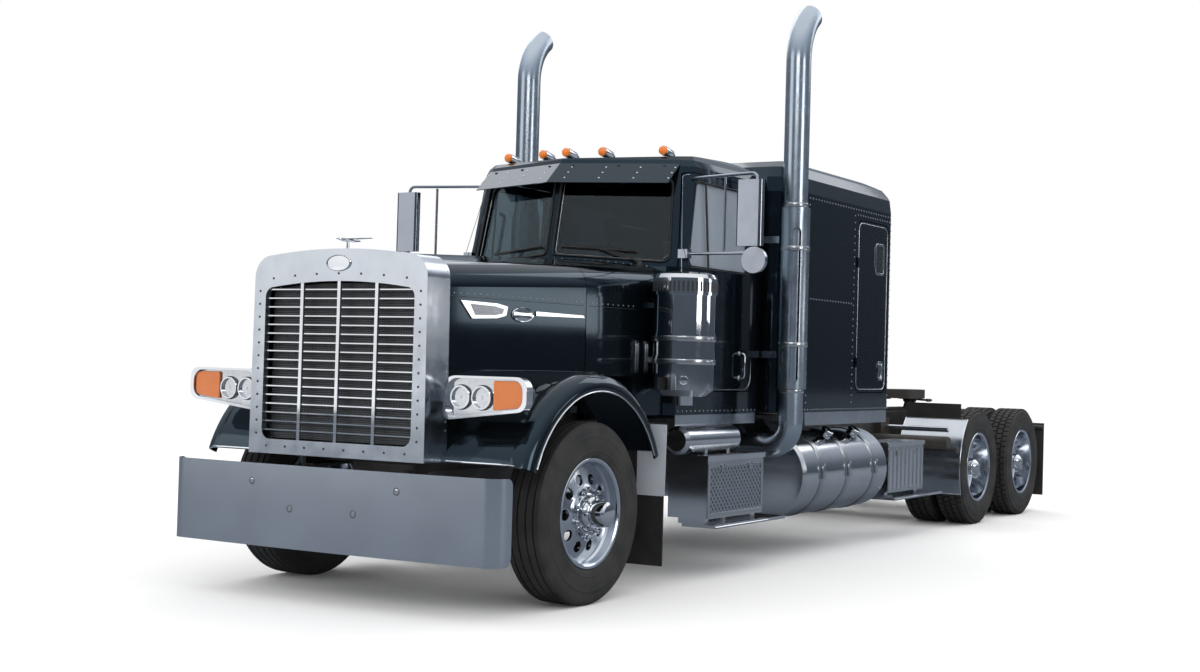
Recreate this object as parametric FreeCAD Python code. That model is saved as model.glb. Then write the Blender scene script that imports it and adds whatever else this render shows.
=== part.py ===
# Long-nosed highway tractor with a sleeper, built as separate pieces.
# Millimetres. The tractor faces -Y, its left side is +X and Z is up.
# Stations along Y are measured from the front axle, and the whole model is
# shifted at export so that the origin lies under the middle of the tractor.

import FreeCAD
import Part
import math
import os

from FreeCAD import Vector

# Overall layout
front_station = -1030.0
rear_station = 8900.0
drive_1 = 6750.0
tandem_spacing = 1340.0
drive_2 = drive_1 + tandem_spacing
seat_gap = 0.3
move_gap = 5.0

# Tyres and rims
tyre_radius = 540.0
tyre_width = 280.0
bead_radius = 313.0
rim_flange_radius = 328.0
rim_width = 250.0
axle_z = tyre_radius
front_tyre_outer = 1183.0
drive_tyre_outer = 1245.0
dual_spacing = 330.0
front_wheel_x = front_tyre_outer - tyre_width / 2
outer_dual_x = drive_tyre_outer - tyre_width / 2
inner_dual_x = outer_dual_x - dual_spacing
hand_hole_count = 10
hand_hole_radius = 33.0
hand_hole_circle = 205.0
rim_wall = 12.0
rim_flange = 14.0
disc_bend_radius = 150.0
rim_hub_radius = 95.0
tyre_facets = 36
rim_facets = 36
spindle_radius = 34.0
axle_end_radius = 50.0

# Frame
rail_outer = 432.0
rail_top = 1040.0
rail_depth = 270.0
rail_bottom = rail_top - rail_depth
rail_flange = 90.0
rail_sheet = 11.0
bracket_sheet = 14.0
rail_front = -720.0
crossmember_stations = (-560.0, 2050.0, 3000.0, 3900.0, 5300.0, 6420.0, 7420.0, 8320.0)
crossmember_width = 90.0
crossmember_lift = 20.0
crossmember_sheet = 12.0
bearing_station = crossmember_stations[3]
gearbox_rear = 1900.0
gearbox_shaft_z = 715.0
axle_nose = 330.0
shaft_z = axle_z + 60.0
shaft_radius = 50.0
shaft_bearing_half = 22.0
shaft_bearing_radius = 78.0

# Engine, gearbox and radiator
engine_half = 320.0
engine_front = -400.0
engine_back = 940.0
engine_bottom = 620.0
engine_top = 1720.0
engine_feet = (150.0, 350.0)
bell_half = 260.0
bell_back = 1090.0
bell_top = 1080.0
gearbox_half = 190.0
gearbox_front = 1200.0
gearbox_bottom = 640.0
gearbox_top = 1060.0
gearbox_neck_half = 170.0
gearbox_neck_bottom = 840.0
core_half = 500.0
core_front = -700.0
core_back = -600.0
core_top = 1880.0
lower_tank_half = 320.0
lower_tank_bottom = 900.0

# Front axle, knuckles and springs
beam_low = 400.0
beam_high = 490.0
beam_half = 50.0
beam_eye_low = 478.0
beam_eye_high = 602.0
beam_groove = 18.0
spring_width = 80.0
spring_leaf = 36.0
spring_low = 498.0
spring_reach = 640.0
spring_rise = 150.0
knuckle_eye_radius = 46.0
knuckle_ear_low = 462.0
knuckle_ear_high = 620.0
knuckle_web = 30.0

# Drive axles and suspension
housing_radius = 72.0
housing_bowl = 205.0
brake_flange_x = 566.0
brake_flange_radius = 150.0
beam_front_reach = 560.0
beam_rear_reach = 480.0
beam_depth = 46.0
bag_radius = 118.0
bag_pad_radius = 90.0
bag_top = 740.0
bag_station = 380.0

# Bumper
bumper_half_width = 1222.0
bumper_bottom = 308.0
bumper_top = 789.0
bumper_bow = 26.0
bumper_corner = 100.0
bumper_sheet = 6.0
bumper_return = 150.0

# Grille shell
grille_front = -940.0
grille_depth = 205.0
grille_back = grille_front + grille_depth
shell_bottom = 843.0
shell_top = 2045.0
shell_half_bottom = 657.0
shell_half_top = 646.0
shell_shoulder = 130.0
shell_wall = 14.0
shell_face = 40.0
opening_half = 559.0
opening_bottom = 928.0
opening_top = 1858.0
opening_arch = 34.0
opening_corner = 60.0
louvre_count = 17
louvre_depth = 46.0
louvre_sheet = 7.0
vertical_bar_spacing = 280.0
vertical_bar_width = 22.0

# Hood and cowl
nose_front_half = 640.0
nose_rear_half = 870.0
nose_rear = 1400.0
hood_rear = 500.0
nose_shoulder_z = 1870.0
nose_shoulder = 150.0
nose_crown_front = shell_top - 5.0
nose_crown_rear = 2150.0
nose_sheet = 12.0
nose_bottom = 890.0
cowl_bottom = 1345.0
fender_center_z = 560.0
fender_lip_radius = 700.0
fender_skin_radius = 812.0
fender_sheet = 10.0
fender_outer = 1216.0
fender_shoulder = 110.0
fender_front_angle = 159.5
fender_rear_angle = 23.5
hood_pivot_y = -870.0
hood_pivot_z = 880.0
hood_pivot_x = 372.0

# Headlamp pods
pod_inner = 700.0
pod_outer = 1262.0
pod_front = -835.0
pod_back = -640.0
pod_bottom_inner = 1085.0
pod_bottom_outer = 1150.0
pod_top = 1335.0
lamp_radius = 66.0
lamp_stations = (808.0, 952.0)
pod_corners = [60.0, 85.0, 75.0, 60.0]
pod_rim = 12.0
pod_recess = 26.0
pod_straight = 60.0
pod_taper = 18.0
pod_lamp_lift = 6.0

# Cab
cab_half = 930.0
cab_half_top = 885.0
cab_back = 2620.0
cab_bottom = 1090.0
cab_floor_top = 1240.0
cab_floor_sheet = 50.0
cab_wall = 50.0
belt_drop = 60.0
cab_belt = nose_crown_rear - belt_drop
cab_eave = 2800.0
cowl_lap = 9.0
firewall = 1000.0
cowl_rear = 1500.0
pillar_y = 1460.0
pillar_top_y = 1590.0
pillar_x = 866.0
pillar_top_x = 805.0
screen_nose_y = 1170.0
screen_nose_top_y = 1310.0
cab_roof_front = cab_eave + 38.0
cab_roof_rear = cab_eave + 140.0
roof_front_y = 1100.0
roof_lamps = ((0.0, 1440.0), (250.0, 1520.0), (656.0, 1665.0))
roof_lamp_radius = 34.0
body_mount_inner = 350.0
body_mount_outer = 424.0
visor_rise = 15.0
visor_drop = 150.0
visor_reach = 135.0
visor_sheet = 6.0
visor_brackets = (0.12, 0.5, 0.88)
glass_depth = 20.0
glass_sheet = 6.0
screen_post = 34.0

# Dash and seats
dash_bottom = cab_belt - 450.0
dash_top = cab_belt - 100.0
dash_edge = 1400.0
wheel_station = 1600.0
wheel_rim_radius = 225.0
wheel_rim = 16.0
wheel_lean = 50.0
seat_x = 450.0
seat_front = 1860.0
seat_back = 2380.0
cushion_half = 260.0
cushion_height = 280.0
cushion_thick = 140.0
backrest = 720.0
bunk_front = 3700.0
bunk_back = 4560.0
bunk_height = 380.0

# Doors
door_front = 1400.0
door_back = 2500.0
door_gap = 6.0
door_bottom = cab_floor_top + door_gap
door_top = cab_eave - 40.0
hinge_reach = 8.0
hinge_back = 3.0
hinge_barrel = 7.5
hinge_pin = 4.0
hinge_step = 25.0
hinge_height = 80.0
door_hinges = (1480.0, 1900.0)
bunk_hinges = (1450.0, 2250.0)
window_sill = cab_belt + 20.0
window_top = door_top - 70.0

# Sleeper
sleeper_half = 1157.0
sleeper_front = 2700.0
sleeper_back = 4645.0
sleeper_bottom = 1100.0
sleeper_top = 2990.0
sleeper_eave = sleeper_top - 245.0
sleeper_wall = 60.0
sleeper_front_corner = 250.0
sleeper_back_corner = 90.0
bunk_door_front = 3890.0
bunk_door_back = 4530.0
bunk_door_bottom = door_bottom
bunk_door_top = sleeper_eave - 105.0
bunk_door_corner = 70.0
passage_half = 420.0
passage_top = sleeper_eave - 195.0
passage_frame = 60.0

# Exhaust stacks
stack_x = 1200.0
stack_y = 2610.0
stack_radius = 92.0
stack_bore = 86.0
stack_elbow = 170.0
stack_low_z = 850.0
stack_bend_z = 3690.0
stack_bend_radius = 430.0
stack_bend_angle = 55.0
shield_radius = 112.0
shield_sheet = 5.0
shield_bottom = 1276.0
shield_top = 2599.0
shield_slot = 62.0

# Side equipment
tank_x = 876.0
tank_z = 622.0
tank_radius = 328.0
tank_front = 2900.0
tank_back = 4520.0
tank_edge = 24.0
strap_stations = (3200.0, 3690.0, 4230.0)
strap_width = 60.0
strap_sheet = 6.0
box_inner = 850.0
box_outer = 1150.0
box_bottom = 400.0
box_top = 790.0
front_box = (1460.0, 2290.0)
rear_box = (4650.0, 5470.0)
box_slab = 34.0
front_board = (1500.0, 2560.0)
rear_board = (4690.0, 5820.0)
board_z = 338.0
board_sheet = 22.0
board_outer = 1205.0
air_tank_x = 1000.0
air_tank_radius = 96.0
air_tank_span = (1290.0, 2060.0)
cleaner_x = 1080.0
cleaner_y = 1215.0
cleaner_radius = 205.0
cleaner_bottom = 1225.0
cleaner_top = 2035.0
cleaner_edge = 40.0
cleaner_band = 150.0
cleaner_band_lip = 10.0
cleaner_straps = (1450.0, 1600.0)
cleaner_arms = (1440.0, 1800.0)
cleaner_strap = 36.0
cleaner_outlet_radius = 70.0
cleaner_outlet = 60.0
hanger_sheet = 60.0
quarter_radius = 620.0
quarter_sheet = 6.0
quarter_inner = 650.0
quarter_outer = 1262.0
quarter_low_angle = -22.0
quarter_sweep = 69.0
quarter_arm_angle = 35.0
quarter_arm_radius = 18.0
flap_front = 758.0
flap_sheet = 10.0
flap_bottom = 160.0
splash_top = 1060.0
splash_bar = 880.0
flap_hanger_radius = 21.0
flap_hanger_reach = 110.0
tail_lamp_depth = 24.0
tail_lamp_radius = 52.0
tail_lamp_places = (170.0, 290.0)
frame_rear = rear_station - tail_lamp_depth - seat_gap

guard_inner = 650.0
guard_outer = 1190.0
guard_top = 1140.0
guard_sheet = 6.0
reservoir_radius = 58.0
reservoir_station = 6030.0
reservoir_z = 785.0
reservoir_end = 1190.0

# Fifth wheel
fifth_y = 7150.0
fifth_top = 1250.0
fifth_plate = 42.0
fifth_half = 460.0
fifth_front = 330.0
fifth_rear = 500.0
fifth_pivot_z = 1160.0
fifth_pivot_x = 360.0
kingpin_radius = 25.4
kingpin_clearance = 0.05
rail_pad = 16.0

# Steering
kingpin_x = 900.0
knuckle_pin_radius = 22.0
pin_gap = 0.3
steer_arm_y = 200.0
steer_arm_x = kingpin_x
tie_rod_z = 455.0
tie_rod_radius = 18.0
ball_pin_radius = 9.0
ball_housing_radius = 32.0


# Helpers for shapes

def box(x0, x1, y0, y1, z0, z1):
    return Part.makeBox(x1 - x0, y1 - y0, z1 - z0, Vector(x0, y0, z0))


def cylinder_x(x0, x1, y, z, radius):
    return Part.makeCylinder(radius, x1 - x0, Vector(x0, y, z), Vector(1, 0, 0))


def cylinder_y(x, y0, y1, z, radius):
    return Part.makeCylinder(radius, y1 - y0, Vector(x, y0, z), Vector(0, 1, 0))


def cylinder_z(x, y, z0, z1, radius):
    return Part.makeCylinder(radius, z1 - z0, Vector(x, y, z0), Vector(0, 0, 1))


def fuse(pieces):
    return pieces[0].fuse(pieces[1:]).removeSplitter()


def group(pieces):
    return Part.makeCompound(pieces)


def mirrored(shape):
    return shape.mirror(Vector(0, 0, 0), Vector(1, 0, 0))


def both_sides(shape):
    return group([shape, mirrored(shape)])


def outward(shape):
    # A solid whose faces point outward, whichever way its outline was drawn
    if shape.Volume < 0:
        shape.reverse()
    return shape


def loft(wires):
    return outward(Part.makeLoft(wires, True, True))


def closed_face(points):
    return Part.Face(Part.makePolygon(list(points) + [points[0]]))


def plate_x(points, x0, x1):
    face = closed_face([Vector(x0, y, z) for y, z in points])
    return outward(face.extrude(Vector(x1 - x0, 0, 0)))


def plate_y(points, y0, y1):
    face = closed_face([Vector(x, y0, z) for x, z in points])
    return outward(face.extrude(Vector(0, y1 - y0, 0)))


def plate_z(points, z0, z1):
    face = closed_face([Vector(x, y, z0) for x, y in points])
    return outward(face.extrude(Vector(0, 0, z1 - z0)))


def rounded_edges(points, radii):
    # Straight edges joined by tangent arcs at the corners that have a radius
    count = len(points)
    starts = []
    ends = []
    middles = []
    for index in range(count):
        corner = points[index]
        radius = radii[index]
        back = (points[index - 1] - corner).normalize()
        ahead = (points[(index + 1) % count] - corner).normalize()
        half = back.getAngle(ahead) / 2
        reach = radius / math.tan(half)
        centre_line = (back + ahead).normalize()
        centre = corner + centre_line * (radius / math.sin(half))
        starts.append(corner + back * reach)
        ends.append(corner + ahead * reach)
        middles.append(centre - centre_line * radius)
    edges = []
    for index in range(count):
        if radii[index] > 0:
            edges.append(Part.Arc(starts[index], middles[index], ends[index]).toShape())
        after = starts[(index + 1) % count]
        if (after - ends[index]).Length > 0.001:
            edges.append(Part.LineSegment(ends[index], after).toShape())
    return Part.Wire(edges)


def rounded_prism_x(points, radii, x0, x1):
    wire = rounded_edges([Vector(x0, y, z) for y, z in points], radii)
    return Part.Face(wire).extrude(Vector(x1 - x0, 0, 0))


def rounded_prism_z(points, radii, z0, z1):
    wire = rounded_edges([Vector(x, y, z0) for x, y in points], radii)
    return Part.Face(wire).extrude(Vector(0, 0, z1 - z0))


def revolved_x(profile, y, z):
    # Profile points are (x, radius) about the line through (y, z) along X
    face = closed_face([Vector(x, y, z + r) for x, r in profile])
    return outward(face.revolve(Vector(0, y, z), Vector(1, 0, 0), 360.0))


def faceted_ring(profile, y, z, sides):
    # Ring of flat facets about the line through (y, z) along X, with a flat at
    # the bottom whose middle lies at the profile's radius
    step = 2 * math.pi / sides
    grow = 1 / math.cos(step / 2)
    rows = []
    for index in range(sides):
        angle = step * (index + 0.5) - math.pi / 2
        along = math.cos(angle) * grow
        up = math.sin(angle) * grow
        rows.append([Vector(x, y + r * along, z + r * up) for x, r in profile])
    faces = []
    for index in range(sides):
        row = rows[index]
        after = rows[(index + 1) % sides]
        for corner in range(len(profile)):
            ahead = (corner + 1) % len(profile)
            faces.append(closed_face([row[corner], row[ahead], after[ahead], after[corner]]))
    return outward(Part.Solid(Part.Shell(faces)))


def save(name, shape):
    placed = shape.copy()
    placed.translate(Vector(0, -(front_station + rear_station) / 2, 0))
    placed.exportStep("parts/" + name + ".step")


# Frame, bumper and what they carry at the front

def frame_rail():
    inner = rail_outer - rail_flange
    web = rail_outer - rail_sheet
    low = rail_bottom + rail_sheet
    high = rail_top - rail_sheet
    profile = [(rail_outer, rail_bottom), (rail_outer, rail_top), (inner, rail_top), (inner, high)]
    profile += [(web, high), (web, low), (inner, low), (inner, rail_bottom)]
    return plate_y(profile, rail_front, frame_rear)


def crossmember(y):
    half = crossmember_width / 2
    web = rail_outer - rail_sheet
    low = rail_bottom + rail_sheet + crossmember_lift
    high = rail_top - rail_sheet - crossmember_lift
    sheet = crossmember_sheet
    body = box(-web, web, y - half, y + half, low, high)
    hollow = box(-web + sheet, web - sheet, y - half + sheet, y + half, low + sheet, high - sheet)
    return body.cut(hollow)


def bumper_back(x):
    # Back face of the bowed bumper at a distance x from the centre
    half = bumper_half_width - bumper_corner
    bow_radius = (half * half + bumper_bow * bumper_bow) / (2 * bumper_bow)
    return front_station + bumper_sheet + x * x / (2 * bow_radius)


def bumper_bracket():
    x0 = rail_outer - rail_sheet - bracket_sheet
    reach = bumper_back(rail_outer) + seat_gap
    points = [(rail_front + 160, rail_top - 30), (rail_front + 160, rail_bottom + 30)]
    points += [(rail_front - 40, 600.0), (reach, 460.0), (reach, 640.0), (rail_front - 30, rail_bottom - 20)]
    points += [(rail_front, rail_bottom), (rail_front, rail_top - 30)]
    return plate_x(points, x0, x0 + bracket_sheet)


def hinge_bracket():
    # Arm from the rail's front end to the pin that the hood tilts on
    x0 = rail_outer - rail_flange
    x1 = x0 + 16
    eye = cylinder_x(x0, x1, hood_pivot_y, hood_pivot_z, 24.0)
    points = [(hood_pivot_y, hood_pivot_z - 24), (hood_pivot_y, hood_pivot_z + 24)]
    points += [(rail_front + 120, rail_top - 60), (rail_front + 120, rail_bottom + 60)]
    pin = cylinder_x(x0, hood_pivot_x + 32, hood_pivot_y, hood_pivot_z, 12.0)
    foot = box(x0, rail_outer - rail_sheet, rail_front + 60, rail_front + 120, rail_bottom + 60, rail_top - 60)
    return fuse([eye, plate_x(points, x0, x1), pin, foot])


def make_frame():
    rail = frame_rail()
    pieces = [rail, mirrored(rail)]
    for station in crossmember_stations:
        pieces.append(crossmember(station))
    end = box(-rail_outer, rail_outer, frame_rear - 14, frame_rear, rail_bottom, rail_top)
    pieces.append(end)
    for arm in (bumper_bracket(), hinge_bracket()):
        pieces.append(arm)
        pieces.append(mirrored(arm))
    hanger = cylinder_x(rail_outer - rail_sheet, drive_tyre_outer, frame_rear - flap_hanger_reach,
                        rail_bottom + flap_hanger_reach, flap_hanger_radius)
    pieces.append(hanger)
    pieces.append(mirrored(hanger))
    return fuse(pieces)


def bumper_outline(offset):
    half = bumper_half_width - bumper_corner
    front = front_station + offset
    side_y = front_station + bumper_bow
    corner = bumper_corner - offset
    centre_y = side_y + bumper_corner
    turn = corner * math.sqrt(0.5)
    back = front_station + bumper_return
    outer = half + corner
    bow = Part.Arc(Vector(-half, side_y + offset, 0), Vector(0, front, 0), Vector(half, side_y + offset, 0))
    right = Part.Arc(Vector(half, side_y + offset, 0), Vector(half + turn, centre_y - turn, 0),
                     Vector(outer, centre_y, 0))
    left = Part.Arc(Vector(-outer, centre_y, 0), Vector(-half - turn, centre_y - turn, 0),
                    Vector(-half, side_y + offset, 0))
    ends = [Vector(outer, centre_y, 0), Vector(outer, back, 0), Vector(-outer, back, 0), Vector(-outer, centre_y, 0)]
    lines = [Part.LineSegment(ends[i], ends[i + 1]).toShape() for i in range(3)]
    wire = Part.Wire([bow.toShape(), right.toShape()] + lines + [left.toShape()])
    face = Part.Face(wire)
    face.translate(Vector(0, 0, bumper_bottom))
    return face.extrude(Vector(0, 0, bumper_top - bumper_bottom))


def make_bumper():
    skin = bumper_outline(0).cut(bumper_outline(bumper_sheet))
    back = front_station + bumper_return
    points = [(front_station - 10, bumper_bottom), (front_station - 10, bumper_top), (back, bumper_top)]
    points += [(back, bumper_bottom)]
    ends = rounded_prism_x(points, [0, 0, 45.0, 60.0], -bumper_half_width - 5, bumper_half_width + 5)
    return skin.common(ends)


def make_engine():
    block = box(-engine_half, engine_half, engine_front, engine_back, engine_bottom, engine_top)
    ear = box(engine_half, rail_outer - rail_sheet - seat_gap, engine_feet[0], engine_feet[1],
              rail_bottom + 60, rail_top - 60)
    bell = box(-bell_half, bell_half, engine_back, bell_back, gearbox_bottom, bell_top)
    gearbox = box(-gearbox_half, gearbox_half, gearbox_front, gearbox_rear, gearbox_bottom, gearbox_top)
    neck = box(-gearbox_neck_half, gearbox_neck_half, bell_back, gearbox_front, gearbox_neck_bottom,
               gearbox_top - 40)
    return fuse([block, ear, mirrored(ear), bell, gearbox, neck])


def make_radiator():
    core = box(-core_half, core_half, core_front, core_back, rail_top + seat_gap, core_top)
    back = crossmember_stations[0] - crossmember_width / 2 - seat_gap
    tank = box(-lower_tank_half, lower_tank_half, core_front + 10, back, lower_tank_bottom, rail_top + seat_gap)
    return fuse([core, tank])


# Hood, cowl and grille

def nose_half(y):
    share = (y - grille_back) / (nose_rear - grille_back)
    return nose_front_half + share * (nose_rear_half - nose_front_half)


def nose_crown(y):
    share = (y - grille_back) / (nose_rear - grille_back)
    return nose_crown_front + share * (nose_crown_rear - nose_crown_front)


def nose_section(y, offset, bottom):
    half = nose_half(y) - offset
    crown = nose_crown(y) - offset
    eave = crown - 55.0
    shoulder = nose_shoulder
    turn = shoulder * (1 - math.sqrt(0.5))
    low = Vector(half, y, bottom)
    side_top = Vector(half - 8, y, eave - shoulder)
    arc_middle = Vector(half - 8 - turn, y, eave - turn)
    arc_end = Vector(half - 8 - shoulder, y, eave)
    flip = [Vector(-p.x, p.y, p.z) for p in (low, side_top, arc_middle, arc_end)]
    edges = [Part.LineSegment(low, side_top).toShape()]
    edges.append(Part.Arc(side_top, arc_middle, arc_end).toShape())
    edges.append(Part.Arc(arc_end, Vector(0, y, crown), flip[3]).toShape())
    edges.append(Part.Arc(flip[3], flip[2], flip[1]).toShape())
    edges.append(Part.LineSegment(flip[1], flip[0]).toShape())
    edges.append(Part.LineSegment(flip[0], low).toShape())
    return Part.Wire(edges)


def nose_form(y0, y1, offset, bottom):
    wires = [nose_section(y0, offset, bottom), nose_section(y1, offset, bottom)]
    return loft(wires)


def fender_skin():
    # Shoulder turned about the wheel's line, from the front valance to the rear foot
    top = fender_skin_radius
    lip = fender_lip_radius
    outer = fender_outer
    sheet = fender_sheet
    inner = nose_front_half - 40
    crest = outer - fender_shoulder
    points = [Vector(outer, 0, lip), Vector(outer - 22, 0, top - 28), Vector(crest, 0, top)]
    inside = [Vector(outer - sheet, 0, lip), Vector(outer - 30, 0, top - 38), Vector(crest, 0, top - sheet)]
    edges = [Part.Arc(points[0], points[1], points[2]).toShape()]
    edges.append(Part.LineSegment(points[2], Vector(inner, 0, top)).toShape())
    edges.append(Part.LineSegment(Vector(inner, 0, top), Vector(inner, 0, top - sheet)).toShape())
    edges.append(Part.LineSegment(Vector(inner, 0, top - sheet), inside[2]).toShape())
    edges.append(Part.Arc(inside[2], inside[1], inside[0]).toShape())
    edges.append(Part.LineSegment(inside[0], points[0]).toShape())
    face = Part.Face(Part.Wire(edges))
    face.translate(Vector(0, 0, fender_center_z))
    face.rotate(Vector(0, 0, fender_center_z), Vector(1, 0, 0), fender_rear_angle - 90)
    sweep = fender_front_angle - fender_rear_angle
    return face.revolve(Vector(0, 0, fender_center_z), Vector(1, 0, 0), sweep)


def make_hood():
    outer = nose_form(grille_back, hood_rear, 0, nose_bottom)
    inner = nose_form(grille_back - 1, hood_rear + 1, nose_sheet, nose_bottom - 10)
    side = outer.cut(inner)
    arch = cylinder_x(-nose_rear_half, nose_rear_half, 0, fender_center_z, fender_skin_radius - fender_sheet / 2)
    side = side.cut(arch)
    skin = fender_skin()
    room = nose_form(grille_back - 1, nose_rear, nose_sheet, nose_bottom - 200)
    cowl_room = nose_form(hood_rear, nose_rear, -move_gap - seat_gap, nose_bottom - 200)
    skin = skin.cut(room).cut(cowl_room)
    shell_room = box(-shell_half_bottom - seat_gap, shell_half_bottom + seat_gap,
                     grille_front, grille_back + seat_gap, shell_bottom - 50, shell_top)
    hood = fuse([side, skin, mirrored(skin)])
    return hood.cut(shell_room)


def shell_outline(offset, y):
    bottom = shell_bottom + offset
    half_low = shell_half_bottom - offset
    half_high = shell_half_top - offset
    shoulder = shell_shoulder
    eave = shell_top - opening_arch - offset
    turn = shoulder * (1 - math.sqrt(0.5))
    foot = Vector(half_low, y, bottom)
    side_top = Vector(half_high, y, eave - shoulder)
    arc_middle = Vector(half_high - turn, y, eave - turn)
    arc_end = Vector(half_high - shoulder, y, eave)
    flip = [Vector(-p.x, p.y, p.z) for p in (foot, side_top, arc_middle, arc_end)]
    edges = [Part.LineSegment(foot, side_top).toShape()]
    edges.append(Part.Arc(side_top, arc_middle, arc_end).toShape())
    edges.append(Part.Arc(arc_end, Vector(0, y, shell_top - offset), flip[3]).toShape())
    edges.append(Part.Arc(flip[3], flip[2], flip[1]).toShape())
    edges.append(Part.LineSegment(flip[1], flip[0]).toShape())
    edges.append(Part.LineSegment(flip[0], foot).toShape())
    return Part.Face(Part.Wire(edges))


def grille_opening(y, shrink):
    half = opening_half - shrink
    bottom = opening_bottom + shrink
    eave = opening_top - opening_arch - shrink
    radius = opening_corner
    turn = radius * (1 - math.sqrt(0.5))
    edges = []
    low = [Vector(half, y, bottom + radius), Vector(half - turn, y, bottom + turn), Vector(half - radius, y, bottom)]
    high = [Vector(half, y, eave - radius), Vector(half - turn, y, eave - turn), Vector(half - radius, y, eave)]
    low_flip = [Vector(-p.x, p.y, p.z) for p in low]
    high_flip = [Vector(-p.x, p.y, p.z) for p in high]
    edges.append(Part.Arc(low[2], low[1], low[0]).toShape())
    edges.append(Part.LineSegment(low[0], high[0]).toShape())
    edges.append(Part.Arc(high[0], high[1], high[2]).toShape())
    edges.append(Part.Arc(high[2], Vector(0, y, opening_top - shrink), high_flip[2]).toShape())
    edges.append(Part.Arc(high_flip[2], high_flip[1], high_flip[0]).toShape())
    edges.append(Part.LineSegment(high_flip[0], low_flip[0]).toShape())
    edges.append(Part.Arc(low_flip[0], low_flip[1], low_flip[2]).toShape())
    edges.append(Part.LineSegment(low_flip[2], low[2]).toShape())
    return Part.Face(Part.Wire(edges))


def hood_hinge_lug():
    x0 = hood_pivot_x - 8
    x1 = hood_pivot_x + 28
    barrel = cylinder_x(x0, x1, hood_pivot_y, hood_pivot_z, 21.0)
    foot = box(x0, x1, grille_front + shell_face - 10, hood_pivot_y, hood_pivot_z - 18, hood_pivot_z + 18)
    return fuse([barrel, foot]).cut(cylinder_x(x0 - 1, x1 + 1, hood_pivot_y, hood_pivot_z, 12.0 + pin_gap))


def make_grille_shell():
    depth = Vector(0, grille_depth, 0)
    body = shell_outline(0, grille_front).extrude(depth)
    hollow = shell_outline(shell_wall, grille_front + shell_face).extrude(depth)
    opening = grille_opening(grille_front - 1, 0).extrude(depth)
    notch = box(rail_outer - rail_flange - 8, hood_pivot_x + 40, grille_front + shell_face, grille_back + 10,
                shell_bottom - 10, shell_bottom + shell_wall + 10)
    body = body.cut(hollow).cut(opening).cut(notch).cut(mirrored(notch))
    lug = hood_hinge_lug()
    return fuse([body, lug, mirrored(lug)])


def make_grille_bars():
    y0 = grille_front + 6
    pitch = (opening_top - opening_bottom) / (louvre_count + 1)
    lean = 14.0
    pieces = []
    for index in range(louvre_count):
        z = opening_bottom + pitch * (index + 1)
        points = [(y0 + 8, z + louvre_sheet), (y0 + 8, z), (y0 + 8 + louvre_depth, z - lean)]
        points += [(y0 + 8 + louvre_depth, z - lean + louvre_sheet)]
        pieces.append(plate_x(points, -opening_half, opening_half))
    for index in (-1, 0, 1):
        x = index * vertical_bar_spacing
        half = vertical_bar_width / 2
        pieces.append(box(x - half, x + half, y0, y0 + 14, opening_bottom - 5, opening_top + 5))
    inside = grille_opening(grille_front - 1, seat_gap).extrude(Vector(0, grille_depth, 0))
    return fuse(pieces).common(inside)


def pod_section(y, shrink):
    # Tapered outline, taller beside the grille than at its outer end
    points = [(pod_inner + shrink, pod_bottom_inner + shrink), (pod_inner + shrink, pod_top - shrink)]
    points += [(pod_outer - 2 * shrink, pod_top - shrink), (pod_outer - 2 * shrink, pod_bottom_outer + shrink)]
    return rounded_edges([Vector(x, y, z) for x, z in points], pod_corners)


def headlamp_pod():
    sections = [pod_section(pod_front, 0.0), pod_section(pod_front + pod_straight, 0.0)]
    sections += [pod_section(pod_back - pod_straight, pod_taper), pod_section(pod_back, 2.2 * pod_taper)]
    recess = loft([pod_section(pod_front - 1, pod_rim), pod_section(pod_front + pod_recess, pod_rim)])
    pod = loft(sections[:2]).fuse(loft(sections[1:])).cut(recess)
    pieces = [pod]
    middle = (pod_bottom_inner + pod_top) / 2 + pod_lamp_lift
    for x in lamp_stations:
        lamp = cylinder_y(x, pod_front + 6, pod_front + pod_recess + 2, middle, lamp_radius)
        pieces.append(lamp.cut(cylinder_y(x, pod_front + 5, pod_front + pod_recess - 4, middle, lamp_radius - 9)))
    arm_z = middle - 30
    side = shell_half_top - 10
    pieces.append(box(side, pod_inner + 20, pod_front + 50, pod_front + 100, arm_z, arm_z + 60))
    shell_room = shell_outline(-seat_gap, grille_front).extrude(Vector(0, grille_depth, 0))
    return fuse(pieces).cut(shell_room)


# Front axle, knuckles and steering

def make_front_axle():
    low = beam_low
    high = beam_high
    eye_low = beam_eye_low + 10
    eye_high = beam_eye_high - 10
    points = [(0.0, low), (640.0, low), (800.0, eye_low), (kingpin_x, eye_low), (kingpin_x, eye_high)]
    points += [(780.0, eye_high), (600.0, high), (0.0, high)]
    left = plate_y(points, -beam_half, beam_half)
    eye = cylinder_z(kingpin_x, 0, beam_eye_low, beam_eye_high, beam_half)
    inset = [(0.0, low + beam_groove), (630.0, low + beam_groove), (780.0, eye_low + 22), (760.0, eye_high - 27)]
    inset += [(600.0, high - beam_groove), (0.0, high - beam_groove)]
    groove = plate_y(inset, beam_half - 28, beam_half + 10)
    back_groove = plate_y(inset, -beam_half - 10, -beam_half + 28)
    half_beam = fuse([left, eye]).cut(groove).cut(back_groove)
    half_beam = half_beam.cut(cylinder_z(kingpin_x, 0, low, high + 210, knuckle_pin_radius + pin_gap))
    spring = front_spring()
    return fuse([half_beam, mirrored(half_beam), spring, mirrored(spring)])


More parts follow.
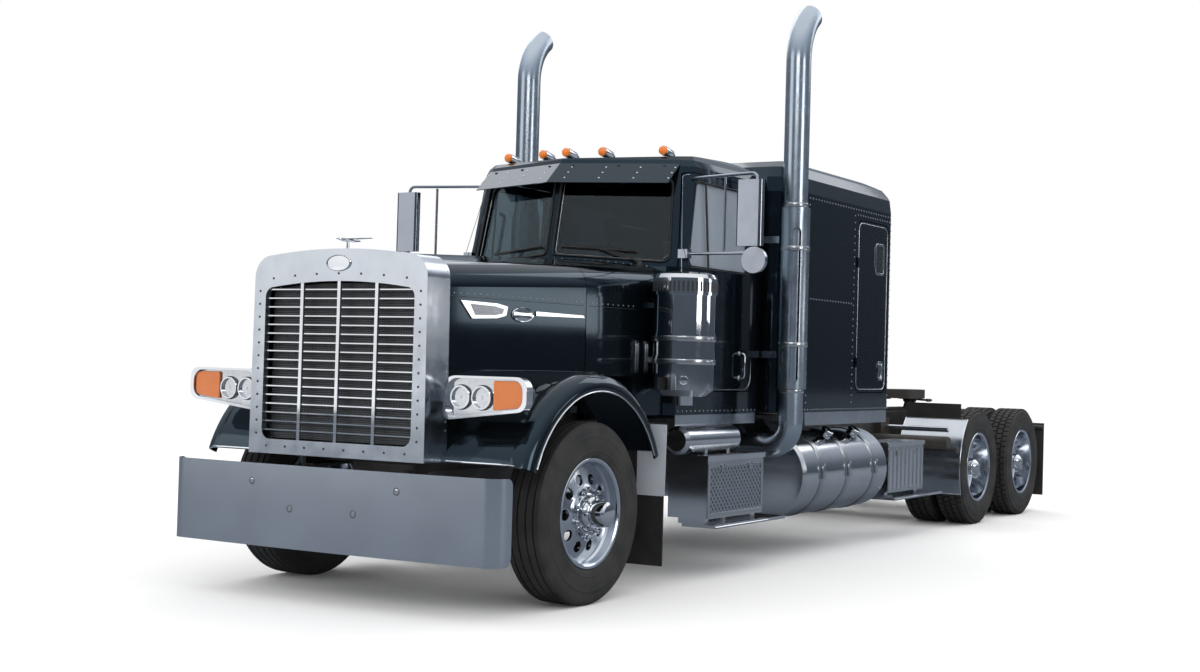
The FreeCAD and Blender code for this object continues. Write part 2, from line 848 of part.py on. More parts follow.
def front_spring():
    # Curved leaf seated on the beam and hung from the rail, inboard of the bumper's bracket
    x1 = rail_outer - rail_sheet - bracket_sheet - seat_gap
    x0 = x1 - spring_width + bracket_sheet
    low = spring_low
    reach = spring_reach
    rise = spring_rise
    sheet = spring_leaf
    ends = [Vector(x0, -reach, low + rise), Vector(x0, 0, low), Vector(x0, reach, low + rise)]
    tops = [Vector(x0, reach, low + rise + sheet), Vector(x0, 0, low + sheet), Vector(x0, -reach, low + rise + sheet)]
    edges = [Part.Arc(ends[0], ends[1], ends[2]).toShape(), Part.LineSegment(ends[2], tops[0]).toShape()]
    edges += [Part.Arc(tops[0], tops[1], tops[2]).toShape(), Part.LineSegment(tops[2], ends[0]).toShape()]
    leaf = Part.Face(Part.Wire(edges)).extrude(Vector(x1 - x0, 0, 0))
    seat = box(x0, x1, -70.0, 70.0, beam_high - 10, low + sheet + 20)
    hangers = []
    for y in (-reach, reach):
        hangers.append(box(x0, x1, y - 40, y + 40, low + rise - 30, rail_bottom - seat_gap))
    return fuse([leaf, seat] + hangers)


def make_knuckle():
    web_x = kingpin_x + 58
    eye = knuckle_eye_radius
    top = (knuckle_ear_high - 13, knuckle_ear_high + 28)
    low = (knuckle_ear_low - 40, knuckle_ear_low + 11)
    pieces = []
    for z0, z1 in (top, low):
        pieces.append(cylinder_z(kingpin_x, 0, z0, z1, eye))
        pieces.append(box(kingpin_x, web_x + 24, -eye, eye, z0, z1))
    pieces.append(box(web_x, web_x + knuckle_web, -eye - 16, eye + 16, low[0], top[1]))
    pieces.append(cylinder_x(web_x + 20, front_wheel_x + 120, 0, axle_z, spindle_radius))
    pieces.append(cylinder_z(kingpin_x, 0, low[0] + 20, knuckle_ear_high + 8, knuckle_pin_radius))
    arm_z0 = tie_rod_z - 50
    arm_z1 = tie_rod_z - tie_rod_radius - 5
    pieces.append(plate_z([(kingpin_x - 32, 20.0), (kingpin_x + 32, 20.0), (steer_arm_x + 22, steer_arm_y + 20),
                           (steer_arm_x - 22, steer_arm_y + 20)], arm_z0, arm_z1))
    pieces.append(cylinder_z(kingpin_x, 0, arm_z0, low[0] + 20, eye - 6))
    pieces.append(cylinder_z(steer_arm_x, steer_arm_y, arm_z0, tie_rod_z + 24, ball_pin_radius))
    return fuse(pieces)


def make_tie_rod():
    tube = cylinder_x(-steer_arm_x + 30, steer_arm_x - 30, steer_arm_y, tie_rod_z, tie_rod_radius)
    pieces = [tube]
    for side in (-1, 1):
        pieces.append(cylinder_z(side * steer_arm_x, steer_arm_y, tie_rod_z - tie_rod_radius,
                                 tie_rod_z + tie_rod_radius, ball_housing_radius))
    rod = fuse(pieces)
    for side in (-1, 1):
        rod = rod.cut(cylinder_z(side * steer_arm_x, steer_arm_y, tie_rod_z - 55, tie_rod_z + 65,
                                 ball_pin_radius + pin_gap))
    return rod


# Wheels

def tyre(x_centre, y):
    half = tyre_width / 2
    bead = rim_width / 2 - rim_flange - 1
    r = tyre_radius
    profile = [(-bead, bead_radius), (-half, r - 125), (-half + 20, r - 14), (-half + 40, r)]
    profile += [(half - 40, r), (half - 20, r - 14), (half, r - 125), (bead, bead_radius)]
    return faceted_ring([(x_centre + u, radius) for u, radius in profile], y, axle_z, tyre_facets)


def rim_profile(disc_joint, dish):
    # Barrel with two flanges, and a disc that runs from the barrel to the hub
    w = rim_width / 2
    seat = bead_radius - seat_gap
    inside = seat - rim_wall
    outline = [(-w, rim_flange_radius), (-w + rim_flange, seat), (w - rim_flange, seat), (w, rim_flange_radius)]
    outline += [(w, inside)]
    outline += [(disc_joint + 9, inside), (dish + 8, disc_bend_radius), (dish + 8, rim_hub_radius)]
    outline += [(dish - 8, rim_hub_radius), (dish - 8, disc_bend_radius), (disc_joint - 9, inside), (-w, inside)]
    return outline


def hand_holes(x, y, length):
    # Octagonal tools keep the discs light; the holes are eased to round ones in use
    tools = []
    for index in range(hand_hole_count):
        angle = 2 * math.pi * index / hand_hole_count
        hole_y = y + hand_hole_circle * math.cos(angle)
        hole_z = axle_z + hand_hole_circle * math.sin(angle)
        corners = []
        for corner in range(8):
            turn = math.pi * (corner + 0.5) / 4
            corners.append((hole_y + hand_hole_radius * math.cos(turn), hole_z + hand_hole_radius * math.sin(turn)))
        tools.append(plate_x(corners, x - length, x + length))
    return tools


def front_rim():
    dish = 84.0
    profile = [(front_wheel_x + u, r) for u, r in rim_profile(45.0, dish)]
    rim = faceted_ring(profile, 0, axle_z, rim_facets)
    rim = rim.cut(group(hand_holes(front_wheel_x + dish - 20, 0, 60.0)))
    bore = spindle_radius + pin_gap
    hub_profile = [(55.0, bore), (55.0, 120.0), (150.0, 116.0), (165.0, 92.0), (245.0, 76.0)]
    hub_profile += [(260.0, 0.0), (125.0, 0.0), (125.0, bore)]
    hub = revolved_x([(front_wheel_x + u, r) for u, r in hub_profile], 0, axle_z)
    return fuse([rim, hub])


def drive_rims(y):
    # Two rims bolted back to back on one hub, the outer one deeply dished
    joint = (outer_dual_x + inner_dual_x) / 2
    dish = joint - outer_dual_x + 8
    outer = [(outer_dual_x + u, r) for u, r in rim_profile(-58.0, dish)]
    inner = [(inner_dual_x - u, r) for u, r in rim_profile(-58.0, dish)]
    outer_rim = faceted_ring(outer, y, axle_z, rim_facets)
    inner_rim = faceted_ring(inner, y, axle_z, rim_facets)
    pair = fuse([outer_rim, inner_rim]).cut(group(hand_holes(joint + 30, y, 90.0)))
    bore = axle_end_radius + pin_gap
    hub_profile = [(joint - 250, bore), (joint - 250, 190.0), (joint - 120, 190.0), (joint - 90, 128.0)]
    hub_profile += [(joint + 30, 128.0), (joint + 110, 112.0), (joint + 250, 78.0), (joint + 304, 0.0)]
    hub_profile += [(joint + 100, 0.0), (joint + 100, bore)]
    hub = revolved_x(hub_profile, y, axle_z)
    return fuse([pair, hub])


# Drive axles and their suspension

def make_drive_axles():
    joint = (outer_dual_x + inner_dual_x) / 2
    pieces = []
    for y in (drive_1, drive_2):
        half = [(0.0, housing_bowl), (90.0, housing_bowl - 15), (230.0, housing_radius)]
        half += [(brake_flange_x, housing_radius), (brake_flange_x, brake_flange_radius)]
        half += [(brake_flange_x + 18, brake_flange_radius), (brake_flange_x + 18, axle_end_radius)]
        half += [(joint + 90, axle_end_radius), (joint + 90, 0.0)]
        profile = half + [(-x, r) for x, r in reversed(half) if x > 0]
        housing = revolved_x(profile, y, axle_z)
        tail = axle_nose if y == drive_1 else 0.0
        nose = cylinder_y(0, y - axle_nose, y + tail, shaft_z, shaft_bearing_radius + 2)
        pieces.append(fuse([housing, nose]))
    return group(pieces)


def shaft_between(start, end, radius):
    line = end - start
    return Part.makeCylinder(radius, line.Length, start, line)


def make_driveshaft():
    # Two shafts with a bearing hung under a crossmember, and a short one between the axles
    first = Vector(0, gearbox_rear + seat_gap, gearbox_shaft_z)
    middle = Vector(0, bearing_station, gearbox_shaft_z)
    axle_face = drive_1 - axle_nose - seat_gap
    last = Vector(0, axle_face + 8, shaft_z)
    front = shaft_between(first, middle, shaft_radius)
    rear = shaft_between(middle, last, shaft_radius)
    rear = rear.cut(box(-100.0, 100.0, axle_face, axle_face + 100, 0.0, rail_top))
    ball = Part.makeSphere(shaft_radius + 8, middle)
    under = rail_bottom + rail_sheet + crossmember_lift - seat_gap
    half = shaft_bearing_half
    wide = shaft_bearing_radius
    hanger = box(-wide + 8, wide - 8, bearing_station - half, bearing_station + half, gearbox_shaft_z, under)
    bearing = cylinder_y(0, bearing_station - half, bearing_station + half, gearbox_shaft_z, wide)
    bearing = bearing.common(box(-100.0, 100.0, bearing_station - 30, bearing_station + 30, 0.0, under))
    link = cylinder_y(0, drive_1 + axle_nose + seat_gap, drive_2 - axle_nose - seat_gap, shaft_z, shaft_radius - 6)
    return group([fuse([front, rear, ball, hanger, bearing]), link])


def make_suspension():
    # Trailing beams under each axle, with an air spring between beam and rail
    pieces = []
    x0 = rail_outer + 12
    x1 = x0 + 90
    middle = (x0 + x1) / 2 + 20
    for y in (drive_1, drive_2):
        beam_top = axle_z - housing_radius - seat_gap
        front = y - beam_front_reach
        hanger = plate_x([(front - 60, 420.0), (front - 110, rail_top - 60), (front + 110, rail_top - 60),
                          (front + 60, 420.0)], rail_outer + seat_gap, rail_outer + hanger_sheet)
        beam = box(x0, x1, front - 30, y + beam_rear_reach, beam_top - beam_depth, beam_top)
        pad = cylinder_z(middle, y + bag_station, beam_top, beam_top + 60, bag_pad_radius)
        bag = cylinder_z(middle, y + bag_station, beam_top + 60, bag_top, bag_radius)
        shelf = box(rail_outer + seat_gap, x1 + 20, y + bag_station - 80, y + bag_station + 80, bag_top, bag_top + 90)
        pieces.append(fuse([hanger, beam, pad, bag, shelf]))
    reservoir = cylinder_x(rail_outer + seat_gap, reservoir_end, reservoir_station, reservoir_z, reservoir_radius)
    pieces.append(reservoir.makeChamfer(10.0, [reservoir.Edges[0]]))
    return group(pieces + [mirrored(piece) for piece in pieces])


# Cab

def cab_plan(half, pillar, front_side, front_centre, back, offset, z):
    points = [(0.0, front_centre + offset), (pillar - offset, front_side + offset)]
    points += [(half - offset, front_side + 60 + offset), (half - offset, back - offset)]
    points += [(-half + offset, back - offset), (-half + offset, front_side + 60 + offset)]
    points += [(-pillar + offset, front_side + offset)]
    return Part.makePolygon([Vector(x, y, z) for x, y in points] + [Vector(0, front_centre + offset, z)])


def roof_z(y):
    share = (y - roof_front_y) / (cab_back - roof_front_y)
    return cab_roof_front + share * (cab_roof_rear - cab_roof_front)


def cab_upper(offset):
    # Pillars and screens below the eave, and a domed cap cut along the sloping roof
    low = cab_plan(cab_half, pillar_x, pillar_y, screen_nose_y, cab_back, offset, cab_belt - 10)
    high = cab_plan(cab_half_top, pillar_top_x, pillar_top_y, screen_nose_top_y, cab_back, offset, cab_eave)
    room = loft([low, high])
    sections = []
    for inset, rise in ((0.0, 0.0), (16.0, 44.0), (48.0, 84.0), (110.0, 115.0), (200.0, 145.0)):
        sections.append(cab_plan(cab_half_top, pillar_top_x, pillar_top_y, screen_nose_top_y, cab_back,
                                 offset + inset, cab_eave + rise))
    cap = loft(sections)
    front = roof_front_y - 50
    back = cab_back + 50
    points = [(front, cab_belt - 50), (front, roof_z(front) - offset), (back, roof_z(back) - offset)]
    points += [(back, cab_belt - 50)]
    return room.fuse(cap).common(plate_x(points, -cab_half - 50, cab_half + 50))


def cab_foot():
    # Narrower part ahead of the doors, lapped by the cowl
    flare = door_front - 70
    points = [(nose_half(firewall) - cowl_lap, firewall), (nose_half(flare) - cowl_lap, flare + 1)]
    points += [(-x, y) for x, y in reversed(points)]
    return plate_z(points, cab_bottom, cowl_bottom + 30)


def cab_lower(offset):
    half = cab_half - offset
    bottom = cab_bottom if offset == 0 else cab_floor_top
    flare = door_front - 70
    points = [(nose_half(flare) - offset, flare + offset), (half, door_front - 10 + offset)]
    points += [(half, cab_back - offset)]
    points += [(-x, y) for x, y in reversed(points)]
    return plate_z(points, bottom, cab_belt)


def cowl_bay():
    # Space for the engine below the cowl, ahead of the firewall
    return nose_form(hood_rear, firewall, nose_sheet, cowl_bottom - 10)


def door_outline(shrink):
    front = door_front + shrink
    back = door_back - shrink
    slope = [(front, door_bottom + shrink), (front, cab_belt - 30), (pillar_y + 120 + shrink, door_top - shrink)]
    slope += [(back, door_top - shrink), (back, door_bottom + shrink)]
    return slope, [40.0, 60.0, 50.0, 60.0, 60.0]


def window_outline():
    points = [(door_front + 125, window_sill), (pillar_y + 215, window_top), (door_back - 90, window_top)]
    points += [(door_back - 90, window_sill)]
    return points, [40.0, 40.0, 60.0, 50.0]


def hinge_fixed(face_x, edge_y, z):
    # Outer barrels and the pin, on the body's side of the gap
    x = face_x + hinge_reach
    y = edge_y - hinge_back
    pieces = [cylinder_z(x, y, z, z + hinge_height, hinge_pin)]
    for low in (z, z + hinge_height - hinge_step):
        pieces.append(cylinder_z(x, y, low, low + hinge_step, hinge_barrel))
        pieces.append(box(face_x - 40, x, y - 20, y, low, low + hinge_step))
    return fuse(pieces)


def hinge_moving(face_x, edge_y, z):
    # Middle barrel that turns on the pin, on the door's side of the gap
    x = face_x + hinge_reach
    y = edge_y - hinge_back
    low = z + hinge_step + seat_gap
    high = z + hinge_height - hinge_step - seat_gap
    pieces = [cylinder_z(x, y, low, high, hinge_barrel), box(face_x + 0.5, x, y, y + 40, low, high)]
    pieces.append(box(face_x - 2, x, y + 12, y + 40, low, high))
    return fuse(pieces).cut(cylinder_z(x, y, low - 1, high + 1, hinge_pin + pin_gap))


def swing_room(face_x, front_y, back_y):
    # What the door may fill and still swing past the opening's rear edge
    reach = back_y - front_y + hinge_back - move_gap - seat_gap
    return cylinder_z(face_x + hinge_reach, front_y - hinge_back, 0, sleeper_top, reach)


def door_prism(shrink):
    # The inner limit leans with the pillar, which stays on the cab
    points, radii = door_outline(shrink)
    prism = rounded_prism_x(points, radii, cab_half - 150, cab_half + 20)
    low_x = pillar_x + door_gap + shrink
    high_x = pillar_top_x + door_gap + shrink
    beyond = cab_half + 20
    limit = plate_y([(low_x, 0.0), (low_x, cab_belt - 10), (high_x, cab_eave), (beyond, cab_eave), (beyond, 0.0)],
                    door_front - 10, door_back + 10)
    return prism.common(limit)


def window_prism():
    points, radii = window_outline()
    return rounded_prism_x(points, radii, cab_half - 150, cab_half + 20)


def screen_prism():
    front = firewall - 100
    points = [Vector(screen_post, front, cab_belt + 85), Vector(pillar_x - 60, front, cab_belt + 42)]
    points += [Vector(pillar_top_x - 45, front, cab_eave - 100), Vector(screen_post, front, cab_eave - 88)]
    wire = rounded_edges(points, [25.0, 50.0, 50.0, 25.0])
    return Part.Face(wire).extrude(Vector(0, 900, 0))


def passage(y0, y1):
    return box(-passage_half, passage_half, y0, y1, cab_floor_top, passage_top)


def cab_walls():
    outer = fuse([nose_form(hood_rear + move_gap, cowl_rear, 0, cowl_bottom), cab_foot(), cab_lower(0),
                  cab_upper(0)])
    room = fuse([nose_form(firewall + cab_wall, cowl_rear, cab_wall, cab_floor_top), cab_lower(cab_wall),
                 cab_upper(cab_wall)])
    return outer.cut(room).cut(cowl_bay())



def body_mounts(stations):
    # Feet between the rails and the floor
    feet = []
    for y in stations:
        foot = box(body_mount_inner, body_mount_outer, y - 50, y + 50, rail_top + seat_gap,
                   cab_floor_top - cab_floor_sheet + 1)
        feet.append(foot)
        feet.append(mirrored(foot))
    return feet


def make_cab():
    walls = cab_walls()
    pan = box(-cab_half + cab_wall, cab_half - cab_wall, door_front, cab_back - cab_wall,
              cab_bottom - 1, cab_floor_top - cab_floor_sheet)
    tunnel_cut = box(-passage_half, passage_half, firewall - 10, door_front + 10, cab_bottom - 1,
                     cab_floor_top - cab_floor_sheet)
    shell = walls.cut(pan).cut(tunnel_cut)
    shell = shell.cut(door_prism(0)).cut(mirrored(door_prism(0)))
    shell = shell.cut(screen_prism()).cut(mirrored(screen_prism()))
    shell = shell.cut(passage(cab_back - 100, cab_back + 10))
    hinges = []
    for z in door_hinges:
        hinge = hinge_fixed(cab_half, door_front, z)
        hinges += [hinge, mirrored(hinge)]
    return fuse([shell] + hinges + body_mounts((firewall + 120, cab_back - 120)))


def cab_glass_layer():
    return cab_upper(glass_depth).cut(cab_upper(glass_depth + glass_sheet))


def make_windshield():
    layer = cab_glass_layer()
    pane = layer.common(screen_prism())
    return both_sides(pane)


def make_door():
    body = cab_walls().common(door_prism(door_gap)).common(swing_room(cab_half, door_front, door_back))
    hinges = [hinge_moving(cab_half, door_front, z) for z in door_hinges]
    return fuse([body.cut(window_prism())] + hinges)


def make_door_glass():
    return cab_glass_layer().common(window_prism()).common(door_prism(door_gap))


def screen_edge(share, side):
    # Point on the windshield's plane, by its share of the height from foot to eave
    if side:
        x = pillar_x + share * (pillar_top_x - pillar_x)
        y = pillar_y + share * (pillar_top_y - pillar_y)
    else:
        x = 0.0
        y = screen_nose_y + share * (screen_nose_top_y - screen_nose_y)
    return x, y


def make_visor():
    # Two flat leaves that hang in front of the eave, one on each side of the crease
    foot = cab_belt - 10
    upper = cab_eave + visor_rise
    lean = visor_drop * (screen_nose_top_y - screen_nose_y) / (cab_eave - foot)
    x_side, y_side = screen_edge(1.0, True)
    y_middle = screen_edge(1.0, False)[1]
    back = seat_gap + visor_sheet
    start = Vector(0, y_middle - back, upper)
    end = Vector(x_side, y_side - back, upper)
    beyond = start - (end - start) * 0.1
    fall = Vector(0, -visor_reach - lean, -visor_drop)
    corners = [beyond, end, end + fall, beyond + fall]
    normal = (end - start).cross(fall).normalize()
    leaf = outward(closed_face(corners).extrude(normal * visor_sheet))
    half = box(seat_gap / 2, cab_half, screen_nose_y - 400, cab_back, upper - 400, upper + 100)
    pieces = [leaf.common(half)]
    for share in visor_brackets:
        spot = start + (end - start) * share
        pieces.append(box(spot.x - 10, spot.x + 10, spot.y - 25, spot.y + 60, cab_eave - 12, cab_eave + 2))
    return both_sides(fuse(pieces).cut(cab_upper(-seat_gap)))


def make_roof_lamps():
    form = cab_upper(-seat_gap)
    lamps = []
    for x, y in roof_lamps:
        z = roof_z(y) + roof_lamp_radius + 6
        body = Part.makeCone(roof_lamp_radius, 15.0, 130.0, Vector(x, y - 60, z), Vector(0, 1, 0))
        foot = box(x - 12, x + 12, y - 30, y + 30, roof_z(y) - 20, z)
        lamp = fuse([body, foot]).cut(form)
        lamps.append(lamp)
        if x > 0:
            lamps.append(mirrored(lamp))
    return group(lamps)


def make_dash():
    room = nose_form(firewall, cowl_rear, cab_wall + seat_gap, cab_floor_top)
    half = nose_half(cowl_rear)
    front = firewall + cab_wall + seat_gap
    points = [(front, dash_bottom), (front, dash_top), (dash_edge, dash_top), (dash_edge + 40, dash_top - 90)]
    points += [(dash_edge - 40, dash_bottom)]
    panel = plate_x(points, -half, half).common(room)
    ring = wheel_rim / 2
    section = [(-14.0, wheel_rim_radius - 8), (-14.0, wheel_rim_radius + 8), (14.0, wheel_rim_radius + 8)]
    section += [(14.0, wheel_rim_radius - 8)]
    wheel = faceted_ring(section, 0, 0, 32)
    wheel.rotate(Vector(0, 0, 0), Vector(0, 1, 0), 90.0)
    bar = box(-wheel_rim_radius, wheel_rim_radius, -14.0, 14.0, -ring, ring)
    spoke = box(-14.0, 14.0, -wheel_rim_radius, 0.0, -ring, ring)
    boss = Part.makeCylinder(55.0, 30.0, Vector(0, 0, -18))
    column = Part.makeCylinder(30.0, 260.0, Vector(0, 0, -270))
    steering = fuse([wheel, bar, spoke, boss, column])
    steering.rotate(Vector(0, 0, 0), Vector(1, 0, 0), -wheel_lean)
    steering.translate(Vector(seat_x - 20, wheel_station, dash_top - 30))
    return fuse([panel, steering])


def make_seats():
    x = seat_x
    low = cab_floor_top + seat_gap
    base = cab_floor_top + cushion_height
    top = base + cushion_thick
    pedestal = box(x - 170, x + 170, seat_front + 100, seat_back - 80, low, base)
    cushion = box(x - cushion_half, x + cushion_half, seat_front, seat_back, base, top)
    half = cushion_half - 10
    back = plate_x([(seat_back - 90, top - 60), (seat_back - 40, top + backrest), (seat_back + 60, top + backrest),
                    (seat_back + 20, top - 60)], x - half, x + half)
    return both_sides(fuse([pedestal, cushion, back]))


# Sleeper

def sleeper_plan(offset, z):
    half = sleeper_half - offset
    front = sleeper_front + offset
    back = sleeper_back - offset
    front_radius = max(sleeper_front_corner - offset, 20.0)
    back_radius = max(sleeper_back_corner - offset, 20.0)
    points = [Vector(-half, front, z), Vector(half, front, z), Vector(half, back, z), Vector(-half, back, z)]
    return rounded_edges(points, [front_radius, front_radius, back_radius, back_radius])


def sleeper_form(offset, bottom):
    walls = Part.Face(sleeper_plan(offset, bottom)).extrude(Vector(0, 0, sleeper_eave - bottom))
    levels = ((0.0, sleeper_eave), (14.0, sleeper_eave + 110), (60.0, sleeper_eave + 190),
              (180.0, sleeper_top))
    lift = -offset * 0.9
    sections = []
    for inset, z in levels:
        shift = 0.0 if z == sleeper_eave else lift
        sections.append(sleeper_plan(offset + inset, z + shift))
    cap = loft(sections)
    back = sleeper_back - offset + 1
    profile = [(sleeper_front - 10, bottom - 1), (sleeper_front - 10, sleeper_top + 10)]
    profile += [(back, sleeper_top + lift), (back, bottom - 1)]
    limit = rounded_prism_x(profile, [0, 0, 330.0, 0], -sleeper_half - 10, sleeper_half + 10)
    return fuse([walls, cap]).common(limit)


def bunk_door_prism(shrink):
    y0 = bunk_door_front + shrink
    y1 = bunk_door_back - shrink
    z0 = bunk_door_bottom + shrink
    z1 = bunk_door_top - shrink
    radius = bunk_door_corner
    points = [(y0, z0), (y0, z1), (y1, z1), (y1, z0)]
    return rounded_prism_x(points, [radius] * 4, sleeper_half - 150, sleeper_half + 20)


def sleeper_walls():
    outer = sleeper_form(0, sleeper_bottom)
    room = sleeper_form(sleeper_wall, cab_floor_top)
    return outer.cut(room)


def make_sleeper():
    pan = box(-sleeper_half + sleeper_wall, sleeper_half - sleeper_wall, sleeper_front + 260,
              sleeper_back - 100, sleeper_bottom - 1, cab_floor_top - cab_floor_sheet)
    shell = sleeper_walls().cut(pan)
    shell = shell.cut(bunk_door_prism(0)).cut(mirrored(bunk_door_prism(0)))
    shell = shell.cut(passage(sleeper_front - 10, sleeper_front + 100))
    rim = passage_frame
    collar = box(-passage_half - rim, passage_half + rim, cab_back + seat_gap, sleeper_front,
                 cab_floor_top - rim, passage_top + rim)
    collar = collar.cut(passage(cab_back - 10, sleeper_front + 10))
    hinges = []
    for z in bunk_hinges:
        hinge = hinge_fixed(sleeper_half, bunk_door_front, z)
        hinges += [hinge, mirrored(hinge)]
    return fuse([shell, collar] + hinges + body_mounts((sleeper_front + 350, sleeper_back - 200)))


def make_bunk_door():
    body = sleeper_walls().common(bunk_door_prism(door_gap))
    body = body.common(swing_room(sleeper_half, bunk_door_front, bunk_door_back))
    return fuse([body] + [hinge_moving(sleeper_half, bunk_door_front, z) for z in bunk_hinges])


def make_bunk():
    half = sleeper_half - sleeper_wall - 10
    low = cab_floor_top + seat_gap
    base_top = cab_floor_top + bunk_height
    base = box(-half, half, bunk_front, bunk_back, low, base_top)
    base = base.cut(box(-half + 20, half - 20, bunk_front + 20, bunk_back - 20, low - 2, base_top - 20))
    cushion = box(-half, half, bunk_front, bunk_back, base_top, base_top + 160)
    return fuse([base, cushion])


def make_skirts():
    cab_strip = box(cab_half - 22, cab_half - 8, door_front, cab_back - 30, cab_bottom - 72, cab_bottom - seat_gap)
    sleeper_strip = box(sleeper_half - 26, sleeper_half - 10, sleeper_front + 280, sleeper_back - 60,
                        sleeper_bottom - 100, sleeper_bottom - seat_gap)
    return group([cab_strip, mirrored(cab_strip), sleeper_strip, mirrored(sleeper_strip)])


# Mirrors, exhaust and air cleaners

def tube_path(points, radius, bend):
    # A round tube through the points, with a tangent arc at each inner one
    edges = []
    start = points[0]
    for index in range(1, len(points) - 1):
        corner = points[index]
        back = (points[index - 1] - corner).normalize()
        ahead = (points[index + 1] - corner).normalize()
        half = back.getAngle(ahead) / 2
        reach = bend / math.tan(half)
        centre_line = (back + ahead).normalize()
        centre = corner + centre_line * (bend / math.sin(half))
        entry = corner + back * reach
        leave = corner + ahead * reach
        edges.append(Part.LineSegment(start, entry).toShape())
        edges.append(Part.Arc(entry, centre - centre_line * bend, leave).toShape())
        start = leave
    edges.append(Part.LineSegment(start, points[-1]).toShape())
    direction = points[1] - points[0]
    ring = Part.Wire(Part.makeCircle(radius, points[0], direction))
    return outward(Part.Wire(edges).makePipeShell([ring], True, True))


def make_mirror():
    head_x = 1440.0
    head_y = 1470.0
    inner_x = cab_half - 60.0
    low_z = 2185.0
    high_z = 2715.0
    high_inner = cab_half_top - 60.0
    path = [Vector(inner_x, 1500.0, low_z), Vector(head_x + 20, head_y, low_z),
            Vector(head_x + 20, head_y, high_z), Vector(high_inner, 1640.0, high_z)]
    loop = tube_path(path, 11.0, 40.0)
    upright = cylinder_z(1215.0, 1486.0, low_z, high_z - 20, 9.0)
    head = box(head_x - 100, head_x + 90, head_y - 70, head_y - 9, 2225.0, 2665.0)
    head = head.makeFillet(22.0, [edge for edge in head.Edges if edge.Length > 400])
    clamp = box(head_x - 10, head_x + 34, head_y - 20, head_y + 14, 2300.0, 2340.0)
    top_clamp = box(head_x - 10, head_x + 34, head_y - 20, head_y + 14, 2560.0, 2600.0)
    convex = cylinder_y(head_x + 20, head_y - 30, head_y + 5, 2135.0, 88.0)
    stem = cylinder_z(head_x + 20, head_y, 2150.0, low_z, 10.0)
    foot = box(inner_x, cab_half + 12, 1470.0, 1530.0, low_z - 30, low_z + 30)
    pieces = [loop, upright, head, clamp, top_clamp, convex, stem, foot]
    return fuse(pieces).cut(cab_upper(-seat_gap))


def make_stack():
    x = stack_x
    y = stack_y
    bend = stack_elbow
    path = [Vector(rail_outer + seat_gap, y, stack_low_z), Vector(x, y, stack_low_z), Vector(x, y, stack_bend_z)]
    angle = math.radians(stack_bend_angle)
    reach = stack_bend_radius
    low = tube_path(path, stack_radius, bend)
    tip = bent_tip(stack_radius, x, y, reach, angle)
    bore = bent_tip(stack_bore, x, y, reach, angle)
    well = cylinder_z(x, y, stack_bend_z - 200, stack_bend_z + 1, stack_bore)
    pipe = fuse([low, tip]).cut(bore).cut(well)
    return group([pipe, heat_shield()])


def heat_shield():
    # Slotted sleeve round the stack on three rings, braced back to the sleeper
    x = stack_x
    y = stack_y
    inner = shield_radius - shield_sheet
    sleeve = cylinder_z(x, y, shield_bottom, shield_top, shield_radius)
    sleeve = sleeve.cut(cylinder_z(x, y, shield_bottom - 1, shield_top + 1, inner))
    pieces = [sleeve]
    for z in (shield_bottom + 14, (shield_bottom + shield_top) / 2, shield_top - 30):
        ring = cylinder_z(x, y, z - 8, z + 8, inner + 2)
        pieces.append(ring.cut(cylinder_z(x, y, z - 9, z + 9, stack_radius + seat_gap)))
    for z in (1500.0, 2350.0):
        pieces.append(box(passage_half + 130, x - shield_radius + 11, sleeper_front - 50, sleeper_front - seat_gap,
                          z, z + 50))
    return fuse(pieces).cut(rounded_slot(x, y))


def bent_tip(radius, x, y, bend, angle):
    circle = Part.Face(Part.Wire(Part.makeCircle(radius, Vector(x, y, stack_bend_z), Vector(0, 0, 1))))
    centre = Vector(x, y + bend, stack_bend_z)
    return circle.revolve(centre, Vector(-1, 0, 0), math.degrees(angle))


def rounded_slot(x, y):
    half = shield_slot / 2
    z0 = shield_bottom + 50
    z1 = shield_top - 150
    points = [(x - half, z0), (x - half, z1), (x + half, z1), (x + half, z0)]
    wire = rounded_edges([Vector(px, y - shield_radius - 5, pz) for px, pz in points], [half - 1] * 4)
    tool = Part.Face(wire).extrude(Vector(0, shield_radius, 0))
    tool.rotate(Vector(x, y, 0), Vector(0, 0, 1), 35.0)
    return tool


def make_air_cleaner():
    # Canister with a wider intake band on top, a cone below and two straps on brackets
    x = cleaner_x
    y = cleaner_y
    r = cleaner_radius
    top = cleaner_top
    lip = r + cleaner_band_lip
    cone = cleaner_bottom + cleaner_edge
    profile = [(0.0, cleaner_bottom), (r - 55, cleaner_bottom), (r, cone), (r, top - cleaner_band)]
    profile += [(lip, top - cleaner_band), (lip, top - 40), (lip - 14, top - 14), (lip - 60, top), (0.0, top)]
    wire = Part.makePolygon([Vector(x + d, y, z) for d, z in profile + profile[:1]])
    body = outward(Part.Face(wire).revolve(Vector(x, y, 0), Vector(0, 0, 1), 360))
    pieces = [body, cylinder_z(x, y, cleaner_bottom - cleaner_outlet, cleaner_bottom + 1, cleaner_outlet_radius)]
    for z in cleaner_straps:
        pieces.append(cylinder_z(x, y, z, z + cleaner_strap, r + 5))
    side = nose_half(y) - 40
    for z in cleaner_arms:
        pieces.append(box(side, x, y - 60, y + 60, z, z + cleaner_strap))
    nose = nose_form(hood_rear, cowl_rear, -seat_gap, cowl_bottom - 5)
    return fuse(pieces).cut(nose)


# Tanks, steps, fenders and flaps

def make_fuel_tank():
    tank = cylinder_y(tank_x, tank_front, tank_back, tank_z, tank_radius)
    return tank.makeChamfer(tank_edge, [edge for edge in tank.Edges if edge.Closed and edge.Length > 1000])


